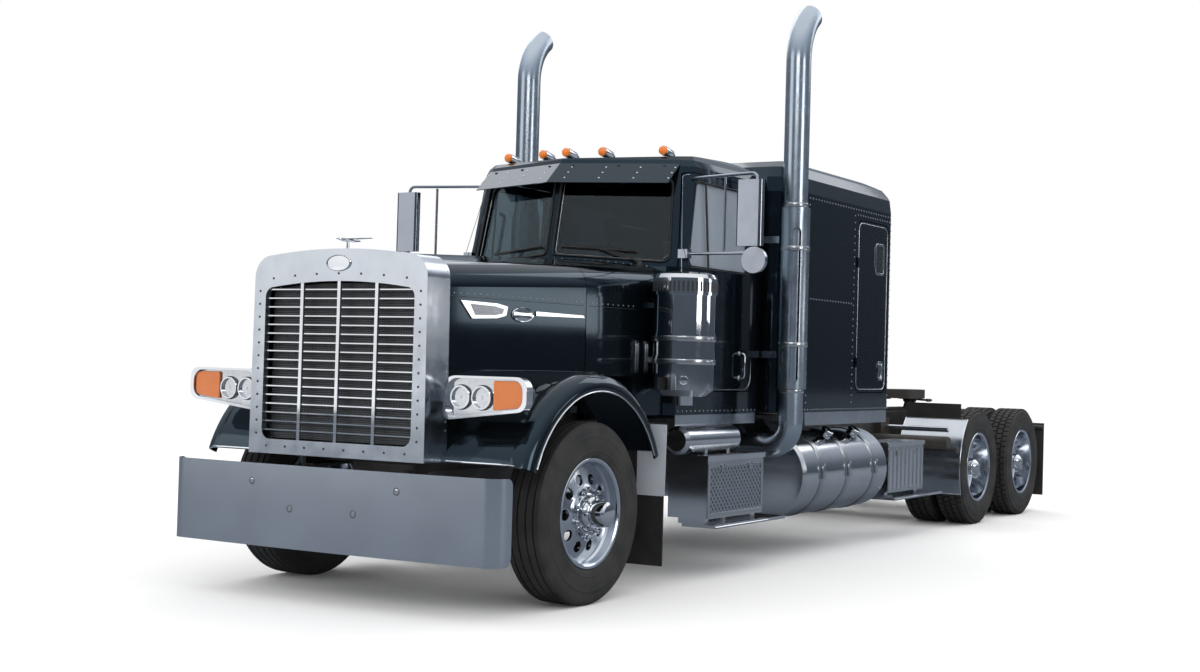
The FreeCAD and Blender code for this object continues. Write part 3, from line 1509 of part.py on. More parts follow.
def make_tank_straps():
    straps = []
    room = cylinder_y(tank_x, tank_front - 10, tank_back + 10, tank_z, tank_radius + seat_gap)
    for station in strap_stations:
        y0 = station - strap_width / 2
        y1 = station + strap_width / 2
        ring = cylinder_y(tank_x, y0, y1, tank_z, tank_radius + seat_gap + strap_sheet)
        points = [(rail_outer + seat_gap, rail_bottom - 60), (rail_outer + seat_gap, rail_top - 30)]
        points += [(rail_outer + 30, rail_top - 30), (tank_x - 230, tank_z + 160), (tank_x, tank_z)]
        points += [(tank_x - 100, tank_z - tank_radius - 10), (rail_outer + 110, tank_z - tank_radius - 10)]
        arm = plate_y(points, y0, y1)
        straps.append(fuse([ring, arm]).cut(room))
    return group(straps + [mirrored(strap) for strap in straps])


def step_unit(span, board, ribs):
    y0, y1 = span
    body = box(box_inner, box_outer, y0, y1, box_bottom, box_top)
    slab = box(box_inner - 20, box_outer + 10, y0 - 15, y1 + 15, box_top, box_top + box_slab)
    pieces = [body, slab]
    if ribs:
        for index in range(ribs):
            x0 = box_outer
            y = y0 + 40 + index * (y1 - y0 - 80) / (ribs - 1)
            pieces.append(box(x0, x0 + 8, y - 14, y + 14, box_bottom + 30, box_top - 30))
    pieces.append(box(box_outer - 210, board_outer, board[0], board[1], board_z, board_z + board_sheet))
    for y in (y0 + 40, y1 - 100):
        pieces.append(box(box_inner + 60, box_outer - 40, y, y + 60, board_z + board_sheet, box_bottom))
        pieces.append(box(rail_outer + seat_gap, box_inner, y, y + 60, box_top - 160, box_top + box_slab))
    return fuse(pieces)


def make_side_steps():
    front = step_unit(front_box, front_board, 0)
    rear = step_unit(rear_box, rear_board, 9)
    return group([front, mirrored(front), rear, mirrored(rear)])


def make_air_tanks():
    z = box_top + box_slab + seat_gap + air_tank_radius + 6
    tank = cylinder_y(air_tank_x, air_tank_span[0], air_tank_span[1], z, air_tank_radius)
    tank = tank.makeChamfer(24.0, [edge for edge in tank.Edges if edge.Closed and edge.Length > 400])
    pieces = [tank]
    for y in (1560.0, 1880.0):
        pieces.append(box(air_tank_x - 70, air_tank_x + 70, y, y + 40, z - air_tank_radius - 6, z - 30))
    return both_sides(fuse(pieces))


def quarter_fender_skin():
    # Sheet rolled round the first drive wheel, from low in front up to its shoulder
    low = math.radians(quarter_low_angle)
    corners = []
    for r in (quarter_radius, quarter_radius + quarter_sheet):
        y = drive_1 - r * math.cos(low)
        z = axle_z + r * math.sin(low)
        corners.append((y, z))
    inner, outer = corners
    face = closed_face([Vector(quarter_inner, inner[0], inner[1]), Vector(quarter_outer, inner[0], inner[1]),
                        Vector(quarter_outer, outer[0], outer[1]), Vector(quarter_inner, outer[0], outer[1])])
    return outward(face.revolve(Vector(0, drive_1, axle_z), Vector(-1, 0, 0), quarter_sweep))


def make_quarter_fenders():
    angle = math.radians(quarter_arm_angle)
    reach = quarter_radius + quarter_sheet + quarter_arm_radius - 4
    y = drive_1 - reach * math.cos(angle)
    z = axle_z + reach * math.sin(angle)
    arm = cylinder_x(rail_outer + hanger_sheet + seat_gap, quarter_outer - 160, y, z, quarter_arm_radius)
    return both_sides(fuse([quarter_fender_skin(), arm]))


def make_mudflaps():
    seat = frame_rear - flap_hanger_reach + flap_hanger_radius + seat_gap
    rear = box(quarter_inner - 10, drive_tyre_outer, seat, seat + flap_sheet, flap_bottom, rail_bottom + 150)
    splash = box(kingpin_x + 30, fender_outer, flap_front, flap_front + flap_sheet, flap_bottom, splash_top)
    bar = box(rail_outer + seat_gap, kingpin_x + 100, flap_front + flap_sheet, flap_front + flap_sheet + 24,
              splash_bar, splash_bar + 50)
    front = fuse([splash, bar])
    end = math.radians(quarter_low_angle + quarter_sweep)
    guard_front = drive_1 - quarter_radius * math.cos(end) + seat_gap
    guard_low = axle_z + quarter_radius * math.sin(end) - 20
    guard = box(guard_inner, guard_outer, guard_front, guard_front + guard_sheet, guard_low, guard_top)
    return group([rear, mirrored(rear), front, mirrored(front), guard, mirrored(guard)])


def make_tail_lamps():
    lamps = []
    for x in tail_lamp_places:
        lamps.append(cylinder_y(x, frame_rear + seat_gap, rear_station, rail_bottom + 140, tail_lamp_radius))
    return group(lamps + [mirrored(lamp) for lamp in lamps])


# Fifth wheel

def make_fifth_wheel_base():
    pieces = [box(-rail_outer, rail_outer, fifth_y - 260, fifth_y + 260, rail_top + seat_gap,
                  rail_top + seat_gap + rail_pad)]
    top = rail_top + seat_gap + rail_pad
    for side in (-1, 1):
        x0 = side * fifth_pivot_x - 30
        points = [(fifth_y - 120, top), (fifth_y - 34, fifth_pivot_z + 10), (fifth_y + 34, fifth_pivot_z + 10)]
        points += [(fifth_y + 120, top)]
        pieces.append(plate_x(points, x0, x0 + 60))
        pieces.append(cylinder_x(x0, x0 + 60, fifth_y, fifth_pivot_z, 36.0))
        pieces.append(cylinder_x(x0 - 36, x0 + 96, fifth_y, fifth_pivot_z, 18.0))
    return fuse(pieces)


def make_fifth_wheel():
    z1 = fifth_top
    z0 = z1 - fifth_plate
    points = [(-fifth_half, fifth_y - fifth_front + 90), (-250.0, fifth_y - fifth_front), (250.0, fifth_y - fifth_front)]
    points += [(fifth_half, fifth_y - fifth_front + 90), (fifth_half, fifth_y + 160), (300.0, fifth_y + fifth_rear)]
    points += [(-300.0, fifth_y + fifth_rear), (-fifth_half, fifth_y + 160)]
    plate = rounded_prism_z(points, [60.0, 60.0, 60.0, 60.0, 60.0, 40.0, 40.0, 60.0], z0, z1)
    rim = rounded_prism_z(points, [60.0, 60.0, 60.0, 60.0, 60.0, 40.0, 40.0, 60.0], z0 - 45, z0)
    core = [(x * 0.94, fifth_y + (y - fifth_y) * 0.94) for x, y in points]
    rim = rim.cut(rounded_prism_z(core, [55.0] * 8, z0 - 46, z0))
    throat = plate_z([(-34.0, fifth_y + 80), (34.0, fifth_y + 80), (150.0, fifth_y + fifth_rear + 5),
                      (-150.0, fifth_y + fifth_rear + 5)], z0 - 60, z1 + 1)
    jaws = rounded_prism_z([(-120.0, fifth_y - 90), (120.0, fifth_y - 90), (120.0, fifth_y + 110),
                            (-120.0, fifth_y + 110)], [20.0] * 4, z0 - 60, z0)
    pieces = [plate, rim, jaws]
    for side in (-1, 1):
        for edge in (-1, 1):
            x0 = side * fifth_pivot_x + edge * 48 - 12
            ear = cylinder_x(x0, x0 + 24, fifth_y, fifth_pivot_z, 34.0)
            web = box(x0, x0 + 24, fifth_y - 60, fifth_y + 60, fifth_pivot_z, z0)
            pieces.append(fuse([ear, web]))
    body = fuse(pieces).cut(throat)
    bore = kingpin_radius + kingpin_clearance
    body = body.cut(cylinder_z(0, fifth_y, z0 - 70, z1 + 1, bore))
    for side in (-1, 1):
        span = side * fifth_pivot_x
        body = body.cut(cylinder_x(span - 64, span + 64, fifth_y, fifth_pivot_z, 18.0 + pin_gap))
    return body


# Write one file for each node

def main():
    os.makedirs("parts", exist_ok=True)
    save("frame", make_frame())
    save("bumper", make_bumper())
    save("engine", make_engine())
    save("radiator", make_radiator())
    save("front_axle", make_front_axle())
    save("drive_axles", make_drive_axles())
    save("driveshaft", make_driveshaft())
    save("suspension", make_suspension())
    save("fuel_tanks", both_sides(make_fuel_tank()))
    save("tank_straps", make_tank_straps())
    save("side_steps", make_side_steps())
    save("air_tanks", make_air_tanks())
    save("quarter_fenders", make_quarter_fenders())
    save("mudflaps", make_mudflaps())
    save("tail_lamps", make_tail_lamps())
    save("exhaust_stacks", both_sides(make_stack()))
    save("air_cleaners", both_sides(make_air_cleaner()))
    save("cab", make_cab())
    save("windshield", make_windshield())
    save("visor", make_visor())
    save("roof_lamps", make_roof_lamps())
    save("dash", make_dash())
    save("seats", make_seats())
    save("sleeper", make_sleeper())
    save("bunk", make_bunk())
    save("skirts", make_skirts())
    save("fifth_wheel_base", make_fifth_wheel_base())
    save("fifth_wheel", make_fifth_wheel())
    save("hood", make_hood())
    save("grille_shell", make_grille_shell())
    save("grille_bars", make_grille_bars())
    save("headlamps", both_sides(headlamp_pod()))
    save("tie_rod", make_tie_rod())
    left_shapes = {
        "door": make_door(),
        "door_glass": make_door_glass(),
        "mirror": make_mirror(),
        "bunk_door": make_bunk_door(),
        "knuckle": make_knuckle(),
        "front_tyre": tyre(front_wheel_x, 0),
        "front_rim": front_rim(),
    }
    for axle, y in (("drive_1", drive_1), ("drive_2", drive_2)):
        left_shapes[axle + "_tyres"] = group([tyre(outer_dual_x, y), tyre(inner_dual_x, y)])
        left_shapes[axle + "_rims"] = drive_rims(y)
    for name, shape in left_shapes.items():
        save(name + "_left", shape)
        save(name + "_right", mirrored(shape))


main()
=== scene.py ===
import math

import bpy
from mathutils import Matrix, Vector


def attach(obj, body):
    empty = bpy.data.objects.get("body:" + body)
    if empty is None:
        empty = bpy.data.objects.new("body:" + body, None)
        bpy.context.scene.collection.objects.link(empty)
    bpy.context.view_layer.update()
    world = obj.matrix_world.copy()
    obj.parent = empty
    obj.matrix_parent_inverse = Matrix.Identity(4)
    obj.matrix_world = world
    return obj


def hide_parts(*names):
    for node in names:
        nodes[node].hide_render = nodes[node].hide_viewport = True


# %% [markdown]
# # Dressing a long-nosed highway tractor
# The engineering model gives every rigid body in its real place: frame, cab, hood,
# wheels, tanks. This lesson adds what a truck shop would add after assembly: paint,
# polish, tread, lamps, rivets, trim and upholstery. The model could be posed as one
# mesh, but keeping each body by itself lets doors, hood and wheels still move.

# %% Load the bodies
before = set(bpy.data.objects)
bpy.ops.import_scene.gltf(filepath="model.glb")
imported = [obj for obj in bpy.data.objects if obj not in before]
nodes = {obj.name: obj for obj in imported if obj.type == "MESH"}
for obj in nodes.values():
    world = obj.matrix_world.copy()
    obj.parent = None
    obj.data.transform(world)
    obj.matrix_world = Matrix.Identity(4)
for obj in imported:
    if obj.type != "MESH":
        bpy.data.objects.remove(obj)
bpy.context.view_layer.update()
front_axle_y = -3.935
axle_z = 0.54
sides = (("left", 1), ("right", -1))


def station(y):
    # Place along the tractor, measured from the front axle as a workshop does
    return y + front_axle_y


def at(x, y, z):
    return Vector((x, station(y), z))


# %% [markdown]
# ## Tools of the bench
# Most pieces are turned, bent, cut from plate or cast, so four helpers cover them:
# a lathe that spins a profile, a tube bender, a plate cutter and a bevelled block.
# Each could be typed as raw vertices, but working with the modelling operators keeps
# the steps the same as those made by hand, and easy to follow in the viewport.

# %% Directions and small helpers
origin, across, inward = (0, 0, 0), (1, 0, 0), (-1, 0, 0)
fore, aft, upward, down = (0, -1, 0), (0, 1, 0), (0, 0, 1), (0, 0, -1)
shift = Matrix.Translation
flip_x = Matrix.Scale(-1, 4, across)


def mm(*points):
    # Points given in millimetres
    return [tuple(v / 1000 for v in point) for point in points]


def deselect():
    if bpy.context.object and bpy.context.object.mode != "OBJECT":
        bpy.ops.object.mode_set(mode="OBJECT")
    bpy.ops.object.select_all(action="DESELECT")


def pulled(move):
    bpy.ops.mesh.extrude_region_move(TRANSFORM_OT_translate={"value": move})


def start_outline(points):
    # One vertex, drawn on through the points
    deselect()
    bpy.ops.mesh.primitive_plane_add(size=0.01, location=points[0])
    bpy.ops.object.mode_set(mode="EDIT")
    bpy.ops.mesh.merge(type="CENTER")
    for before, after in zip(points, points[1:]):
        pulled(after - before)
    bpy.ops.mesh.select_all(action="SELECT")


def into_mesh():
    # Back in object mode, with the place taken into the mesh
    bpy.ops.object.mode_set(mode="OBJECT")
    bpy.ops.object.transform_apply(location=True, rotation=True, scale=True)


def settle(smooth=30):
    # Clean normals, the place in the mesh and soft shading
    bpy.ops.mesh.select_all(action="SELECT")
    bpy.ops.mesh.remove_doubles(threshold=1e-5)
    bpy.ops.mesh.normals_make_consistent(inside=False)
    into_mesh()
    if smooth:
        bpy.ops.object.shade_smooth_by_angle(angle=math.radians(smooth))
    return bpy.context.object


def applied(piece, kind, **settings):
    # A modifier with its settings, applied at once
    bpy.context.view_layer.objects.active = piece
    modifier = piece.modifiers.new(kind.lower(), kind)
    for setting, value in settings.items():
        setattr(modifier, setting, value)
    bpy.ops.object.modifier_apply(modifier=modifier.name)
    return piece


def shaded(piece, angle):
    deselect()
    piece.select_set(True)
    bpy.ops.object.shade_smooth_by_angle(angle=math.radians(angle))
    return piece


def soften(piece, width, steps=2, angle=35):
    # Rolled or machined edges
    applied(piece, "BEVEL", width=width, segments=steps, limit_method="ANGLE",
            angle_limit=math.radians(angle))
    return shaded(piece, angle)


# %% Lathe, tube bender, plate and block
def lathe(profile, centre, axis, steps=48, smooth=30):
    # Profile points are (distance along the axis, radius)
    along = Vector(axis).normalized()
    side = Vector(upward) if abs(along.z) < 0.5 else Vector(across)
    centre = Vector(centre)
    start_outline([centre + along * a + side * r for a, r in profile])
    bpy.ops.mesh.spin(steps=steps, angle=2 * math.pi, center=centre, axis=along)
    return settle(smooth)


def tube(points, radius, bend, sides=12, turns=6):
    points = [Vector(p) for p in points]
    deselect()
    heading = (points[1] - points[0]).normalized()
    bpy.ops.mesh.primitive_circle_add(vertices=sides, radius=radius, location=points[0],
                                      rotation=heading.to_track_quat("Z", "Y").to_euler())
    bpy.ops.object.mode_set(mode="EDIT")
    bpy.ops.mesh.select_all(action="SELECT")
    here = points[0]
    for corner, after in zip(points[1:-1], points[2:]):
        ahead = (after - corner).normalized()
        turn = heading.angle(ahead)
        reach = bend * math.tan(turn / 2)
        entry = corner - heading * reach
        pulled(entry - here)
        axis = heading.cross(ahead).normalized()
        centre = entry + axis.cross(heading) * bend
        bpy.ops.mesh.spin(steps=turns, angle=-turn, center=centre, axis=axis)
        here = corner + ahead * reach
        heading = ahead
    pulled(points[-1] - here)
    bpy.ops.mesh.select_all(action="SELECT")
    bpy.ops.mesh.fill_holes(sides=0)
    return settle(40)


def plate(outline, depth, edge=0.0):
    # Flat outline of points, thickened along depth
    start_outline([Vector(p) for p in outline])
    bpy.ops.mesh.edge_face_add()
    pulled(Vector(depth))
    piece = settle()
    return soften(piece, edge) if edge else piece


def block(low, high, edge=0.003, steps=2):
    low, high = Vector(low), Vector(high)
    deselect()
    bpy.ops.mesh.primitive_cube_add(size=1, location=(low + high) / 2, scale=high - low)
    bpy.ops.object.mode_set(mode="EDIT")
    return soften(settle(0), edge, steps)


# %% Copies, cuts and the last step of every piece
def duplicate(piece, move):
    # A copy with its own mesh, moved or mirrored in that mesh
    copy = piece.copy()
    copy.data = piece.data.copy()
    bpy.context.scene.collection.objects.link(copy)
    copy.data.transform(move)
    if move.determinant() < 0:
        copy.data.flip_normals()
    return copy


def joined(pieces):
    deselect()
    for piece in pieces:
        piece.select_set(True)
    bpy.context.view_layer.objects.active = pieces[0]
    if len(pieces) > 1:
        bpy.ops.object.join()
    return pieces[0]


def copied(piece, moves):
    # The piece at each move of the list, joined into one object
    made = [duplicate(piece, move) for move in moves]
    bpy.data.objects.remove(piece)
    return joined(made)


def both(*pieces):
    # The pieces as one, together with their mirror image
    return copied(joined(list(pieces)), [Matrix.Identity(4), flip_x])


def cut_away(piece, cutter):
    applied(piece, "BOOLEAN", operation="DIFFERENCE", solver="EXACT", object=cutter)
    bpy.data.objects.remove(cutter)
    return shaded(piece, 30)


def ready(piece, name, finish, body="chassis", stands_for=()):
    # Named, finished and riding on its body
    piece.name = name
    piece.data.name = name
    piece.data.materials.clear()
    piece.data.materials.append(finish)
    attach(piece, body)
    if stands_for:
        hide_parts(*stands_for)
    print(name, len(piece.data.polygons), "faces")
    return piece


# %% Finding the surface of a body
def met(node, start, direction):
    # Where a straight line first meets a body, and how that spot faces
    hit, place, normal, _ = nodes[node].ray_cast(Vector(start), Vector(direction))
    return (place, normal) if hit else None


def surface(node, start, direction):
    spot = met(node, start, direction)
    if not spot:
        raise ValueError("no surface of " + node + " from " + str(tuple(start)))
    return spot


def standing(place, normal):
    # The move that stands a piece made along Z on a surface
    return shift(place) @ normal.to_track_quat("Z", "Y").to_matrix().to_4x4()


# %% [markdown]
# ## Paint, polish and rubber
# A truck's black is thin lacquer over metal: nearly black, very glossy, with a faint
# orange peel and a breath of road dust low down. Chrome and polished aluminium take
# their look from what they reflect, so they only get slight unevenness. A flat colour
# would look like plastic, and painted image maps would need unwrapping every panel,
# so each finish is a small tree of noise patterns on object coordinates.

# %% Helpers for finishes
def set_inputs(node, values):
    for socket, value in values.items():
        node.inputs[socket].default_value = value


def new_finish(name, color, metallic, roughness, **more):
    # More holds further inputs of the shader, with _ for the spaces in their names
    finish = bpy.data.materials.new(name)
    finish.use_nodes = True
    tree = finish.node_tree
    further = {socket.replace("_", " "): value for socket, value in more.items()}
    set_inputs(tree.nodes["Principled BSDF"], {"Base Color": (*color, 1), "Metallic": metallic,
                                               "Roughness": roughness, **further})
    return finish, tree


def into(tree, value, socket):
    tree.links.new(value, tree.nodes["Principled BSDF"].inputs[socket])


def place_of(tree, stretch=(1, 1, 1)):
    coordinate = tree.nodes.new("ShaderNodeTexCoord")
    mapping = tree.nodes.new("ShaderNodeMapping")
    mapping.inputs["Scale"].default_value = stretch
    tree.links.new(coordinate.outputs["Object"], mapping.inputs["Vector"])
    return mapping.outputs["Vector"]


def noise(tree, scale, detail=3.0, stretch=(1, 1, 1)):
    texture = tree.nodes.new("ShaderNodeTexNoise")
    set_inputs(texture, {"Scale": scale, "Detail": detail})
    tree.links.new(place_of(tree, stretch), texture.inputs["Vector"])
    return texture.outputs["Fac"]


def waves(tree, scale, direction="X", stretch=(1, 1, 1), distortion=0.0):
    texture = tree.nodes.new("ShaderNodeTexWave")
    texture.bands_direction = direction
    set_inputs(texture, {"Scale": scale, "Distortion": distortion})
    tree.links.new(place_of(tree, stretch), texture.inputs["Vector"])
    return texture.outputs["Fac"]


def between(tree, value, low, high, start=0.3, end=0.7):
    # The value's range from start to end, stretched to low to high
    node = tree.nodes.new("ShaderNodeMapRange")
    set_inputs(node, {"From Min": start, "From Max": end, "To Min": low, "To Max": high})
    tree.links.new(value, node.inputs["Value"])
    return node.outputs["Result"]


def worked(tree, operation, first, second):
    node = tree.nodes.new("ShaderNodeMath")
    node.operation = operation
    tree.links.new(first, node.inputs[0])
    tree.links.new(second, node.inputs[1])
    return node.outputs["Value"]


def mixed(tree, factor, first, second):
    # First where the factor is 0 and second where it is 1: colours or sockets
    mix = tree.nodes.new("ShaderNodeMix")
    mix.data_type = "RGBA"
    tree.links.new(factor, mix.inputs["Factor"])
    for socket, color in (("A", first), ("B", second)):
        if isinstance(color, tuple):
            mix.inputs[socket].default_value = (*color, 1)
        else:
            tree.links.new(color, mix.inputs[socket])
    return mix.outputs["Result"]


def tinted(tree, factor, first, second):
    into(tree, mixed(tree, factor, first, second), "Base Color")


def bumped(tree, height, distance):
    bump = tree.nodes.new("ShaderNodeBump")
    set_inputs(bump, {"Distance": distance, "Strength": 1.0})
    tree.links.new(height, bump.inputs["Height"])
    into(tree, bump.outputs["Normal"], "Normal")


def patterned(tree, pattern, first, second, depth):
    # One pattern both colours the surface and stands out of it
    tinted(tree, pattern, first, second)
    bumped(tree, pattern, depth)


def uneven(tree, scale, low, high, socket="Roughness"):
    into(tree, between(tree, noise(tree, scale), low, high), socket)


# %% Finishes for paint and metal
def gloss_paint():
    black, dust = (0.0018, 0.0030, 0.0042), (0.0055, 0.0065, 0.0072)
    blue_sheen = (0.42, 0.74, 1.0, 1.0)
    finish, tree = new_finish("black_lacquer", black, 0.0, 0.06, Specular_IOR_Level=0.52,
                              Specular_Tint=blue_sheen, Coat_Weight=0.25, Coat_Roughness=0.03)
    # Road film: 1 near the ground and 0 above, broken up by noise
    split = tree.nodes.new("ShaderNodeSeparateXYZ")
    tree.links.new(place_of(tree), split.inputs["Vector"])
    fade = between(tree, split.outputs["Z"], 1.0, 0.0, 0.7, 1.5)
    patchy = between(tree, noise(tree, 3.0), 0.35, 1.0)
    tinted(tree, worked(tree, "MULTIPLY", fade, patchy), black, dust)
    uneven(tree, 5.0, 0.04, 0.07)
    bumped(tree, noise(tree, 240.0, 2.0), 0.00006)
    return finish


def bright_metal(name, color, low, high, ripple, grain=None):
    finish, tree = new_finish(name, color, 1.0, (low + high) / 2)
    darker = tuple(c * 0.86 for c in color)
    tinted(tree, between(tree, noise(tree, 2.2), 0.0, 1.0), color, darker)
    pattern = noise(tree, 60.0, 3.0, grain) if grain else noise(tree, 9.0)
    into(tree, between(tree, pattern, low, high), "Roughness")
    bumped(tree, pattern if grain else noise(tree, 2.6, 1.0), ripple)
    return finish


def rough_metal(name, color, dust, roughness, grain_scale, depth):
    finish, tree = new_finish(name, color, 0.0, roughness)
    tinted(tree, between(tree, noise(tree, 4.0, 5.0), 0.0, 0.85), color, dust)
    uneven(tree, 11.0, roughness - 0.1, roughness + 0.1)
    bumped(tree, noise(tree, grain_scale, 4.0), depth)
    return finish


black_lacquer = gloss_paint()
chrome = bright_metal("bright_chrome", (0.80, 0.81, 0.83), 0.03, 0.08, 0.0006)
polished = bright_metal("polished_aluminium", (0.74, 0.75, 0.77), 0.09, 0.17, 0.0001, (6, 0.6, 6))
wheel_polish = bright_metal("wheel_aluminium", (0.66, 0.69, 0.74), 0.10, 0.20, 0.0002)
brushed = bright_metal("brushed_stainless", (0.60, 0.61, 0.62), 0.23, 0.26, 0.00001,
                       (0.5, 0.5, 9))
stack_steel = bright_metal("stack_steel", (0.52, 0.58, 0.65), 0.20, 0.28, 0.0001)
# Rivet heads get a bright metal, much lighter than the black sheet they hold, so that they show as
# light dots: a painted highlight
rivet_highlight_metal = bright_metal("rivet_heads_painted_highlight", (0.55, 0.58, 0.61), 0.16, 0.24, 0.00002)
mirror_shell = bright_metal("mirror_shell", (0.40, 0.43, 0.48), 0.08, 0.16, 0.0002)
mirror_face = bright_metal("mirror_face", (0.88, 0.89, 0.90), 0.01, 0.03, 0.00002)
bumper_brush = bright_metal("bumper_stainless", (0.62, 0.65, 0.70), 0.20, 0.27, 0.00004,
                            (0.3, 3, 12))
nose_polish = bright_metal("nose_polish", (0.64, 0.67, 0.71), 0.14, 0.26, 0.0004)
frame_black = rough_metal("chassis_black", (0.016, 0.016, 0.017), (0.045, 0.040, 0.034), 0.48,
                          40.0, 0.0003)
cast_black = rough_metal("cast_black", (0.022, 0.022, 0.022), (0.060, 0.050, 0.042), 0.62,
                         120.0, 0.0005)
engine_grey = rough_metal("engine_enamel", (0.10, 0.10, 0.105), (0.05, 0.045, 0.04), 0.45,
                          70.0, 0.0004)
# A pale grey non-metal for the splash panels, lighter than their brushed sheet would show there:
# painted light standing in for the bright reflection on them
pale_painted_light_sheet = rough_metal("pale_painted_light_sheet", (0.44, 0.47, 0.52), (0.36, 0.39, 0.44), 0.35, 60.0, 0.0001)
dash_grain = rough_metal("dash_grain", (0.030, 0.030, 0.032), (0.045, 0.044, 0.043), 0.55,
                         260.0, 0.0003)
leather = rough_metal("seat_leather", (0.050, 0.046, 0.043), (0.075, 0.068, 0.062), 0.42,
                      150.0, 0.0006)
print("metal, plastic and leather finishes ready")


# %% Finishes for rubber, cloth, glass and tread
def rubber(name, color, dust, roughness):
    finish, tree = new_finish(name, color, 0.0, roughness)
    tinted(tree, between(tree, noise(tree, 7.0, 6.0), 0.0, 0.8), color, dust)
    bumped(tree, noise(tree, 320.0, 3.0), 0.0002)
    return finish


def woven(name, color, other, scale, depth, roughness):
    # Threads over and under: two crossed waves
    finish, tree = new_finish(name, color, 0.0, roughness, Sheen_Weight=0.3)
    threads = [waves(tree, scale, direction, distortion=0.6) for direction in "XY"]
    patterned(tree, worked(tree, "MULTIPLY", *threads), other, color, depth)
    return finish


def glassy(name, color, roughness, clearness, shine=0.5):
    finish, tree = new_finish(name, color, 0.0, roughness, Specular_IOR_Level=shine,
                              Transmission_Weight=clearness, IOR=1.45)
    uneven(tree, 3.0, roughness, roughness + 0.03)
    return finish


def clear_cover():
    # Thin moulded plastic that lets nearly all light through
    finish, tree = new_finish("lamp_cover", (0.10, 0.105, 0.11), 0.0, 0.03, Coat_Weight=1.0)
    uneven(tree, 30.0, 0.06, 0.11, "Alpha")
    return finish


def lens(name, color, painted_glint):
    # Moulded prisms inside a coloured lens, with the prism bands painted lighter as a painted glint of
    # the light they catch
    finish, tree = new_finish(name, color, 0.0, 0.12, Coat_Weight=1.0)
    patterned(tree, waves(tree, 55.0), color, painted_glint, 0.0006)
    return finish


def tread_plate():
    # Raised bars crossing on the slant, coloured bright on the bars and dark in the gaps between them
    finish, tree = new_finish("tread_plate", (0.66, 0.67, 0.68), 1.0, 0.22)
    bars = [between(tree, waves(tree, 13.0, "DIAGONAL", stretch), 0.0, 1.0, 0.55, 0.85)
            for stretch in ((1, 1, 1), (1, -1, 1), (-1, 1, 1))]
    crossed = worked(tree, "MAXIMUM", worked(tree, "MAXIMUM", bars[0], bars[1]), bars[2])
    uneven(tree, 9.0, 0.16, 0.30)
    patterned(tree, crossed, (0.07, 0.073, 0.08), (0.48, 0.50, 0.53), 0.0012)
    return finish


def core_fins():
    finish, tree = new_finish("core_fins", (0.05, 0.05, 0.052), 0.6, 0.5)
    # The fins are lighter than the gaps between them: painted shade in the gaps of the core
    patterned(tree, waves(tree, 60.0, "Z"), (0.02, 0.02, 0.02), (0.09, 0.09, 0.09), 0.002)
    return finish


tyre_black = rubber("tyre_rubber", (0.014, 0.014, 0.014), (0.034, 0.031, 0.028), 0.72)
flap_black = rubber("flap_rubber", (0.012, 0.012, 0.013), (0.030, 0.027, 0.024), 0.55)
seal_black = rubber("seal_rubber", (0.010, 0.010, 0.010), (0.018, 0.018, 0.018), 0.45)
bunk_cloth = woven("bunk_cloth", (0.30, 0.29, 0.28), (0.20, 0.19, 0.185), 90.0, 0.0006, 0.85)
clear_glass = glassy("cab_glass", (0.40, 0.53, 0.56), 0.0, 1.0, 0.25)
side_glass = glassy("side_glass", (0.40, 0.46, 0.53), 0.01, 0.5)
dark_glass = glassy("dark_glass", (0.02, 0.025, 0.028), 0.01, 0.2)
lamp_glass = clear_cover()
amber_lens = lens("amber_lens", (0.72, 0.13, 0.004), (0.90, 0.26, 0.012))
red_lens = lens("red_lens", (0.42, 0.008, 0.008), (0.70, 0.03, 0.02))
step_plate = tread_plate()
cooling_fins = core_fins()

# %% [markdown]
# ## Finish for every engineered body
# Each body keeps its engineered shape and only gets its surface. The wheels, lamps
# and seats are remade further on, because tread, bulbs and stitching are finer than
# the engineering model carries.

# %% Give every body its finish
finished = (
    (frame_black, "frame"), (bumper_brush, "bumper"), (engine_grey, "engine"),
    (cooling_fins, "radiator"), (cast_black, "front_axle drive_axles suspension knuckle_*"),
    (cast_black, "fifth_wheel_base fifth_wheel tie_rod"),
    (brushed, "driveshaft tank_straps"), (polished, "fuel_tanks side_steps air_tanks"),
    (nose_polish, "quarter_fenders skirts grille_shell"), (flap_black, "mudflaps"),
    (red_lens, "tail_lamps"), (stack_steel, "exhaust_stacks"), (clear_glass, "windshield"),
    (chrome, "air_cleaners roof_lamps grille_bars headlamps"), (side_glass, "door_glass_*"),
    (black_lacquer, "cab visor sleeper hood door_* bunk_door_*"), (mirror_shell, "mirror_*"),
    (dash_grain, "dash"), (leather, "seats"), (bunk_cloth, "bunk"),
    (tyre_black, "front_tyre_* drive_1_tyres_* drive_2_tyres_*"),
    (wheel_polish, "front_rim_* drive_1_rims_* drive_2_rims_*"),
)
finish_of = {}
for finish, bodies in finished:
    for name in bodies.split():
        for side in ("left", "right") if "*" in name else ("",):
            finish_of[name.replace("*", side)] = finish
for name, body in nodes.items():
    body.data.materials.clear()
    body.data.materials.append(finish_of[name])
print("finished bodies:", len(finish_of))

# %% [markdown]
# ## Tyres
# A steering tyre has ribs running round it, and a drive tyre has separate blocks for
# grip. The carcass is turned on the lathe as one closed profile with its grooves, and
# the blocks are one bevelled block copied round. A texture could fake the tread, but
# its outline against the floor would stay smooth.

# %% Places of the wheels
tyre_radius = 0.54
front_wheel_x, outer_dual_x, inner_dual_x = 1.043, 1.105, 0.775
axle_stations = {"front": 0, "drive_1": 6.75, "drive_2": 8.09}
drive_axles = ("drive_1", "drive_2")


def around(count, offset=0.0):
    # Equal turns about the axle
    return [Matrix.Rotation(2 * math.pi * (k + offset) / count, 4, "X") for k in range(count)]


def fitted(pattern, name, axle, side, x, finish, stands_for):
    # A copy of the pattern on one end of an axle, mirrored for the right side
    sign = dict(sides)[side]
    move = shift((sign * x, station(axle_stations[axle]), axle_z))
    ready(duplicate(pattern, move if sign > 0 else move @ flip_x), name + "_" + side, finish,
          "wheel_" + axle + "_" + side, stands_for=(stands_for + "_" + side,))


